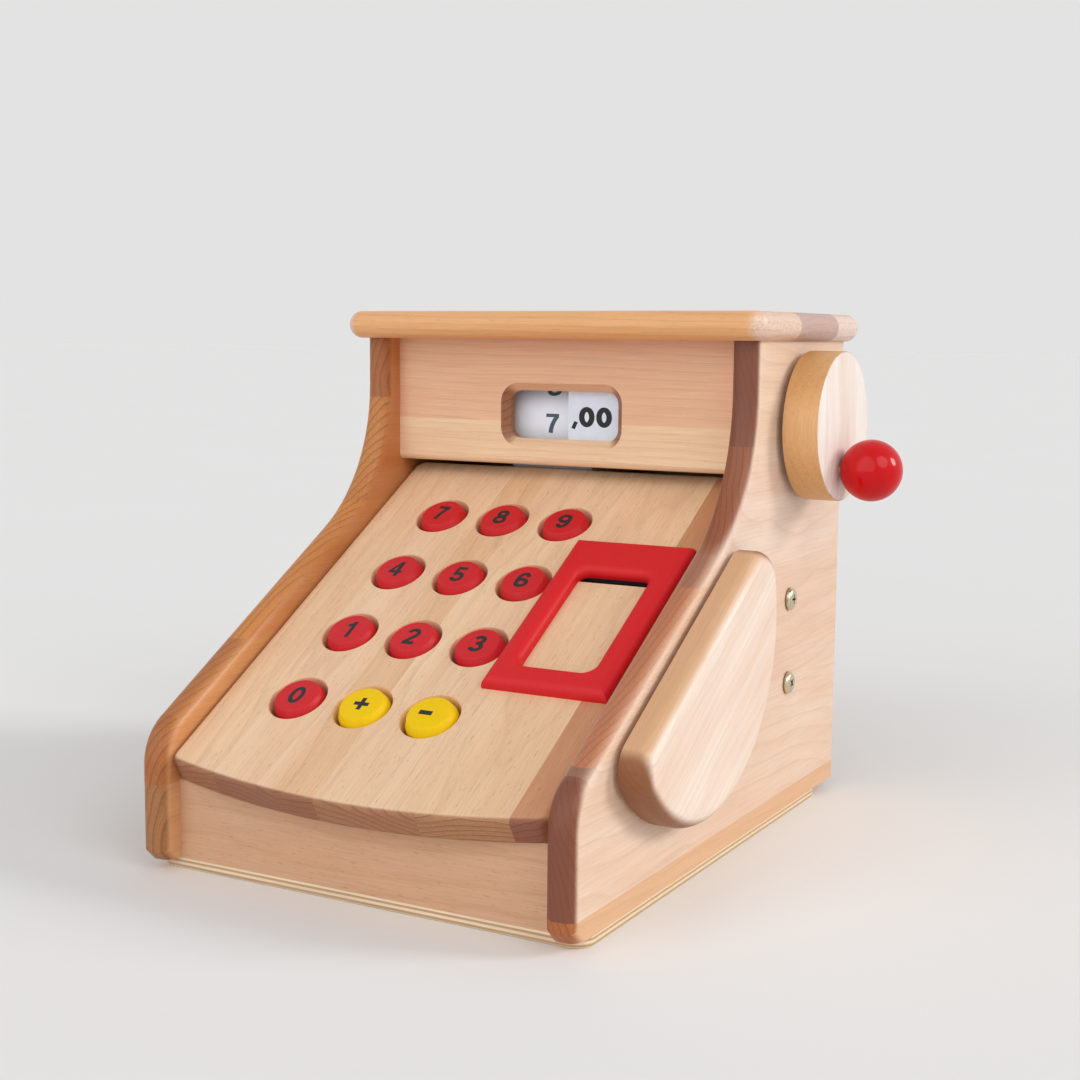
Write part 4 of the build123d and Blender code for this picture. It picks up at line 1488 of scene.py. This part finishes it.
@dataclass
class Crank:
    """Crank disc, ball knob, shaft and the drum with its ring of numbers."""

    axis_y: float = 101.9
    axis_z: float = 228.8
    disc_x: Point = (129.8, 153.8)
    disc_radius: float = 44.0
    disc_round: float = 2.5
    disc_facets: int = 160
    round_facets: int = 8
    # a face whose normal lies at least this far along the axis is one of the disc's flats
    flat_tilt: float = 0.6
    knob_radius: float = 17.5
    knob_x: float = 170.3
    knob_y: float = 98.6
    knob_z: float = 204.7
    # the ball stands this far off the disc and is this much smaller than its solid
    knob_gap: float = 0.05
    knob_trim: float = 0.02
    knob_rings: int = 48
    drum_radius: float = 42.5
    drum_x: Point = (-46.0, 8.0)
    band_thick: float = 0.75
    band_facets: int = 180
    digit_right_x: float = -8.6
    digit_height: float = 11.6
    digit_stretch: float = 1.28
    ink_lift: float = 0.05
    # the number seen through the window at rest, and how many degrees it stands off level
    shown: int = 7
    shown_angle: float = -2.5
    numbers: int = 12

    def turn_disc(self, wood: bpy.types.Material, rim: bpy.types.Material) -> None:
        """Turn the disc; its faces and its rim have their own runs of wood.

        Args:
            wood: the faces.
            rim: the rim.
        """
        near, far = self.disc_x
        profile = eased((
            (0.0, near, 0.0), (self.disc_radius, near, self.disc_round),
            (self.disc_radius, far, self.disc_round), (0.0, far, 0.0),
        ), self.round_facets)
        centre = Vector((0, self.axis_y, self.axis_z)) * MM
        disc = turned("disc_turned", profile, centre, RIGHT, self.disc_facets)
        disc.materials.append(wood)
        disc.materials.append(rim)
        for face in disc.polygons:
            face.material_index = 0 if abs(face.normal.x) > self.flat_tilt else 1
        settle("disc_turned", disc, "crank", None, ("crank_disc",))

    def turn_ball(self, red: bpy.types.Material) -> None:
        """Turn the ball, with a flat where it meets the disc.

        Args:
            red: the ball's lacquer.
        """
        centre = Vector((0, self.knob_y, self.knob_z)) * MM
        flat = self.disc_x[1] + self.knob_gap - self.knob_x
        edge = math.degrees(math.asin(flat / self.knob_radius))
        reach = self.knob_radius - self.knob_trim
        sphere = [(0.0, self.knob_x + flat)]
        sphere += arc((0.0, self.knob_x), reach, edge, 90.0, self.knob_rings)
        sphere[-1] = (0.0, sphere[-1][1])
        settle("ball_turned", turned("ball_turned", sphere, centre, RIGHT), "crank",
               red, ("crank_knob",))

    def wrap_band(self, card: bpy.types.Material) -> None:
        """Wrap the white band round the drum.

        Args:
            card: the band's white.
        """
        left, right = self.drum_x
        inner = self.drum_radius - self.band_thick
        band = ((inner, left), (self.drum_radius, left), (self.drum_radius, right), (inner, right))
        centre = Vector((0, self.axis_y, self.axis_z)) * MM
        mesh = turned("number_band_turned", band, centre, RIGHT, self.band_facets, True)
        settle("number_band_turned", mesh, "crank", card, ("number_band",))

    def number_blanks(self) -> bpy.types.Collection:
        """Print every number flat, its right edge at the origin.

        Returns:
            The numbers, in order.
        """
        rack = bpy.data.collections.new("number_blanks")
        bpy.context.scene.collection.children.link(rack)
        wide = Matrix.Diagonal((self.digit_stretch, 1.0, 1.0, 1.0))
        for number in range(self.numbers):
            label = f"number_{number:02d}"
            mesh = printed(label, str(number), self.digit_height, wide)
            mesh.transform(Matrix.Translation((-max(v.co.x for v in mesh.vertices), 0.0, 0.0)))
            rack.objects.link(bpy.data.objects.new(label, mesh))
        return rack

    def ring_tree(self) -> tuple[bpy.types.NodeTree, dict[str, str]]:
        """Make the node tree that sets the numbers in a strip and bends it round the drum.

        Returns:
            The tree and the identifiers of its inputs.
        """
        tree, names, given = geometry_tree("ring_of_numbers", {
            "Numbers": "NodeSocketCollection", "Count": "NodeSocketInt",
            "Drum Radius": "NodeSocketFloat", "First Angle": "NodeSocketFloat",
            "Right Edge": "NodeSocketFloat", "Axis": "NodeSocketVector",
            "Ink": "NodeSocketMaterial",
        })
        radius = given.outputs["Drum Radius"]
        girth = add(tree, "ShaderNodeMath", {0: radius, 1: math.tau}, operation="MULTIPLY")
        pitch = add(tree, "ShaderNodeMath", {0: girth, 1: given.outputs["Count"]}, operation="DIVIDE")
        first = add(tree, "ShaderNodeMath", {0: given.outputs["First Angle"], 1: radius},
                    operation="MULTIPLY")
        start = add(tree, "ShaderNodeCombineXYZ", {0: given.outputs["Right Edge"], 1: first})
        step = add(tree, "ShaderNodeCombineXYZ", {1: pitch})
        seats = add(tree, "GeometryNodeMeshLine", {
            "Count": given.outputs["Count"], "Start Location": start, "Offset": step,
        }, mode="OFFSET", count_mode="TOTAL")
        blanks = add(tree, "GeometryNodeCollectionInfo", {
            "Collection": given.outputs["Numbers"], "Separate Children": True, "Reset Children": True,
        })
        put = add(tree, "GeometryNodeInstanceOnPoints",
                  {"Points": seats, "Instance": blanks, "Pick Instance": True})
        strip = add(tree, "GeometryNodeRealizeInstances", {0: put})
        fine = add(tree, "GeometryNodeSubdivideMesh", {"Mesh": strip, "Level": 2})
        # a point at height t on the strip goes to the angle t / radius round the drum
        spot = add(tree, "ShaderNodeSeparateXYZ", {0: add(tree, "GeometryNodeInputPosition")})
        turn = add(tree, "ShaderNodeMath", {0: spot.outputs[1], 1: radius}, operation="DIVIDE")
        sine = add(tree, "ShaderNodeMath", {0: turn}, operation="SINE")
        cosine = add(tree, "ShaderNodeMath", {0: turn}, operation="COSINE")
        film = add(tree, "ShaderNodeMath", {0: spot.outputs[2], 1: self.ink_lift * MM}, operation="ADD")
        outer = add(tree, "ShaderNodeMath", {0: radius, 1: film}, operation="ADD")
        back = add(tree, "ShaderNodeMath", {0: outer, 1: -1.0}, operation="MULTIPLY")
        y = add(tree, "ShaderNodeMath", {0: back, 1: cosine}, operation="MULTIPLY")
        z = add(tree, "ShaderNodeMath", {0: outer, 1: sine}, operation="MULTIPLY")
        bent = add(tree, "ShaderNodeCombineXYZ", {0: spot.outputs[0], 1: y, 2: z})
        placed = add(tree, "ShaderNodeVectorMath", {0: bent, 1: given.outputs["Axis"]}, operation="ADD")
        wrapped = add(tree, "GeometryNodeSetPosition", {"Geometry": fine, "Position": placed})
        inked = add(tree, "GeometryNodeSetMaterial",
                    {"Geometry": wrapped, "Material": given.outputs["Ink"]})
        add(tree, "NodeGroupOutput", {0: inked})
        return tree, names

    def print_numbers(self, ink: bpy.types.Material) -> None:
        """Print the ring of numbers.

        Args:
            ink: the printing ink.
        """
        rack = self.number_blanks()
        tree, names = self.ring_tree()
        first_angle = math.radians(self.shown_angle) - math.tau * self.shown / self.numbers
        mesh = grown("drum_numbers", bpy.data.meshes.new("drum_number_seeds"), tree, {
            names["Numbers"]: rack,
            names["Count"]: self.numbers,
            names["Drum Radius"]: self.drum_radius * MM,
            names["First Angle"]: first_angle,
            names["Right Edge"]: self.digit_right_x * MM,
            names["Axis"]: (0.0, self.axis_y * MM, self.axis_z * MM),
            names["Ink"]: ink,
        })
        for blank in list(rack.objects):
            bpy.data.objects.remove(blank)
        bpy.data.collections.remove(rack)
        settle("drum_numbers", mesh, "crank", ink)

    def build(self, made: Mapping[str, bpy.types.Material]) -> None:
        """Turn and print the crank's pieces and dress the rest.

        Args:
            made: name of each finish to its material.
        """
        wood = made["alder_crank_disc"]
        self.turn_disc(wood, made["alder_crank_rim"])
        self.turn_ball(made["lacquered_ball_red"])
        for node in ("crank_peg", "crank_shaft", "shaft_collar", "number_drum"):
            dress(node, wood)
        self.wrap_band(made["printed_band_white"])
        self.print_numbers(made["screen_print_ink_slate"])


# --- Studio ---------------------------------------------------------------------------------


@dataclass
class Studio:
    """Pale floor, soft lamps and the camera of the photograph."""

    camera_place: Triple = (0.46040, -0.80523, 0.27717)
    yaw: float = 29.1
    pitch: float = -6.94
    roll: float = 0.452
    lens: float = 55.27
    sensor: float = 36.0
    nearest: float = 0.02
    # half the floor's side in metres, its two tones, and repeats of their clouds in a metre
    floor_half: float = 40.0
    floor_tones: tuple[str, str] = ("#EFEEEC", "#F1F0EF")
    floor_clouds: float = 3.0
    # colour and strength of the surround, as a lamp and as it is seen
    soft_light: tuple[str, float] = ("#F6F8FC", 0.46)
    seen_light: tuple[str, float] = ("#F6F5F5", 0.84)
    # name, way towards it, width in degrees, power and colour
    suns: list[tuple[str, Triple, float, float, str]] = field(default_factory=lambda: [
        ("window_right", (0.75, -0.35, 0.56), 40.0, 0.8, "#FFFEFC"),
        ("window_back", (0.88, 0.42, 0.42), 20.0, 1.3, "#FFFDFA"),
        ("room_front", (-0.1, -0.95, 0.35), 70.0, 1.0, "#FFFDFB"),
        ("wall_left", (-0.5, -0.7, 0.5), 70.0, 0.3, "#F4F6FF"),
    ])

    def place_camera(self) -> None:
        """Set the camera where the photograph was taken from."""
        yaw, pitch, roll = (math.radians(v) for v in (self.yaw, self.pitch, self.roll))
        level = math.cos(pitch)
        ahead = Vector((-math.sin(yaw) * level, math.cos(yaw) * level, math.sin(pitch)))
        right = ahead.cross(UP).normalized()
        up = right.cross(ahead)
        tilted_right = math.cos(roll) * right + math.sin(roll) * up
        tilted_up = -math.sin(roll) * right + math.cos(roll) * up
        data = bpy.data.cameras.new("camera")
        data.lens = self.lens
        data.sensor_width = self.sensor
        data.clip_start = self.nearest
        camera = bpy.data.objects.new("camera", data)
        bpy.context.scene.collection.objects.link(camera)
        turn = Matrix((tilted_right, tilted_up, -ahead)).transposed().to_4x4()
        camera.matrix_world = Matrix.Translation(Vector(self.camera_place)) @ turn
        bpy.context.scene.camera = camera

    def hang_lamps(self) -> None:
        """Hang wide, soft suns, so that the light is the same all over the floor."""
        for name, place, spread, power, colour in self.suns:
            data = bpy.data.lights.new(name, "SUN")
            data.angle = math.radians(spread)
            data.energy = power
            data.color = srgb(colour)[:3]
            lamp = bpy.data.objects.new(name, data)
            lamp.rotation_euler = (-Vector(place)).to_track_quat("-Z", "Y").to_euler()
            bpy.context.scene.collection.objects.link(lamp)

    def lay_floor(self) -> None:
        """Lay a plain floor of pale matt paint, which the eye sees as one even tone."""
        half = self.floor_half
        corners = [(-half, -half, 0), (half, -half, 0), (half, half, 0), (-half, half, 0)]
        mesh = bpy.data.meshes.new("floor")
        mesh.from_pydata(corners, [], [(0, 1, 2, 3)])
        floor = bpy.data.objects.new("floor", mesh)
        bpy.context.scene.collection.objects.link(floor)
        material = bpy.data.materials.new("painted_floor")
        material.use_nodes = True
        tree = material.node_tree
        tree.nodes.clear()
        place = add(tree, "ShaderNodeTexCoord")
        cloud = add(tree, "ShaderNodeTexNoise",
                    {"Vector": place.outputs["Object"], "Scale": self.floor_clouds})
        first, second = (srgb(tone) for tone in self.floor_tones)
        tint = add(tree, "ShaderNodeMix", {0: cloud, MIX_A: first, MIX_B: second}, data_type="RGBA")
        shader = add(tree, "ShaderNodeBsdfDiffuse", {"Color": tint})
        add(tree, "ShaderNodeOutputMaterial", {0: shader})
        mesh.materials.append(material)

    def light_surround(self) -> None:
        """Light the scene softly from all round, before a pale surround that is only seen."""
        world = bpy.data.worlds.new("surround")
        bpy.context.scene.world = world
        world.use_nodes = True
        tree = world.node_tree
        tree.nodes.clear()
        ray = add(tree, "ShaderNodeLightPath")
        seen = add(tree, "ShaderNodeMath",
                   {0: ray.outputs["Is Camera Ray"], 1: ray.outputs["Is Glossy Ray"]},
                   operation="MAXIMUM")
        seen = add(tree, "ShaderNodeMath", {0: seen, 1: ray.outputs["Is Transmission Ray"]},
                   operation="MAXIMUM")
        soft, white = (
            add(tree, "ShaderNodeBackground", {"Color": srgb(tone), "Strength": strength})
            for tone, strength in (self.soft_light, self.seen_light)
        )
        both = add(tree, "ShaderNodeMixShader", {0: seen, 1: soft, 2: white})
        add(tree, "ShaderNodeOutputWorld", {0: both})

    def build(self) -> None:
        """Set up the whole studio."""
        self.lay_floor()
        self.light_surround()
        self.hang_lamps()
        self.place_camera()
        bpy.context.scene.view_settings.view_transform = "Standard"


# --- All together ---------------------------------------------------------------------------

FINISHES: tuple[Finish, ...] = (
    # nitro lacquer sprayed on the milled card frame: an even, satin red
    Lacquer("lacquered_red_satin", "#D0101A", "#D61C26"),
    # the same lacquers on the turned keys: a satin red, and a yellow with less sheen
    Lacquer("lacquered_key_red", "#C8141E", "#D0222C"),
    Lacquer("lacquered_key_yellow", "#EEC400", "#F2CE00", sheen=0.2),
    # dipped and buffed on the ball: a deeper red with a clear reflection of the windows
    Lacquer("lacquered_ball_red", "#C40008", "#CC020C", (0.3, 0.38), coat=0.45, coat_rough=0.08,
            stipple=0.03, sheen=0.05),
    # coated white card, cool on the plate; the band's copy is painted brighter, as painted light to lift
    # the shade it lies in behind the window
    PlainFinish("printed_card_white", "#D9E2F0", "#E2EAF6", 6.0, (0.5, 0.6)),
    PlainFinish("printed_band_white", "#EAF0FB", "#F0F5FE", 6.0, (0.5, 0.6)),
    # screen-printed ink: matt and dense
    PlainFinish("screen_print_ink_black", "#0E1016", "#16181E", 1.0, (0.6, 0.7)),
    PlainFinish("screen_print_ink_slate", "#445462", "#4E5E6C", 1.0, (0.6, 0.7)),
    # yellow-passivated zinc on steel: pale brass, with painted shade in the recess
    PlainFinish("yellow_zinc_steel", "#CFC09C", "#DCD0B4", 1.5, (0.18, 0.28), metallic=1.0,
                relief=0.05, crevice=0.95),
    # cut sponge rubber: dark grey, open-pored and dead matt
    PlainFinish("sponge_rubber_grey", "#47474A", "#5A5A5E", 0.8, (0.85, 0.95), relief=0.8),
    # painted shade in the card slot: a near-black tone on its walls, so that the slot reads as a dark
    # line
    PlainFinish("slot_wall_painted_shade", "#120E0C", "#1A1512", 1.5, (0.7, 0.8)),
    # painted light in the key holes: a pale warm tone on their walls, for the light that reaches them
    PlainFinish("key_hole_wall_painted_light", "#FFE0B4", "#FBD4A2", 2.0, (0.6, 0.75)),
    # turned alder: the disc's faces are paler than its rim
    VarnishedAlder("alder_crank_disc", Grain.UPRIGHT, (59, 145), (), ("#F0E6DE",), ("#D8A878",),
                   seed=47.9, ring=4.0, line_amount=0.15, flecks=0.08),
    VarnishedAlder("alder_crank_rim", Grain.UPRIGHT, (59, 145), (), ("#E2B078",), ("#D8A266",),
                   seed=53.3, ring=6.0, line_amount=0.12, end_amount=0.6, ribs=0.12, flecks=0.1),
)


def main() -> None:
    """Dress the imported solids, make the fine pieces and set up the studio."""
    logging.basicConfig(level=logging.INFO, format="%(name)s: %(message)s")
    made = {finish.name: finish.build() for finish in FINISHES}
    black = made["screen_print_ink_black"]
    case = Case()
    case.dress_boards()
    case.print_cents(made["printed_card_white"], black)
    case.drive_screws(made["yellow_zinc_steel"])
    keys = Keys()
    places = keys.places()
    lid = KeyboardLid()
    lid.dress_boards(made["lacquered_red_satin"])
    lid.line_openings(list(places.values()), made["slot_wall_painted_shade"], made["key_hole_wall_painted_light"])
    lid.lay_pads(places, made["sponge_rubber_grey"])
    keys.turn(made["lacquered_key_red"], made["lacquered_key_yellow"], black)
    Crank().build(made)
    Studio().build()


if __name__ == "__main__":
    main()
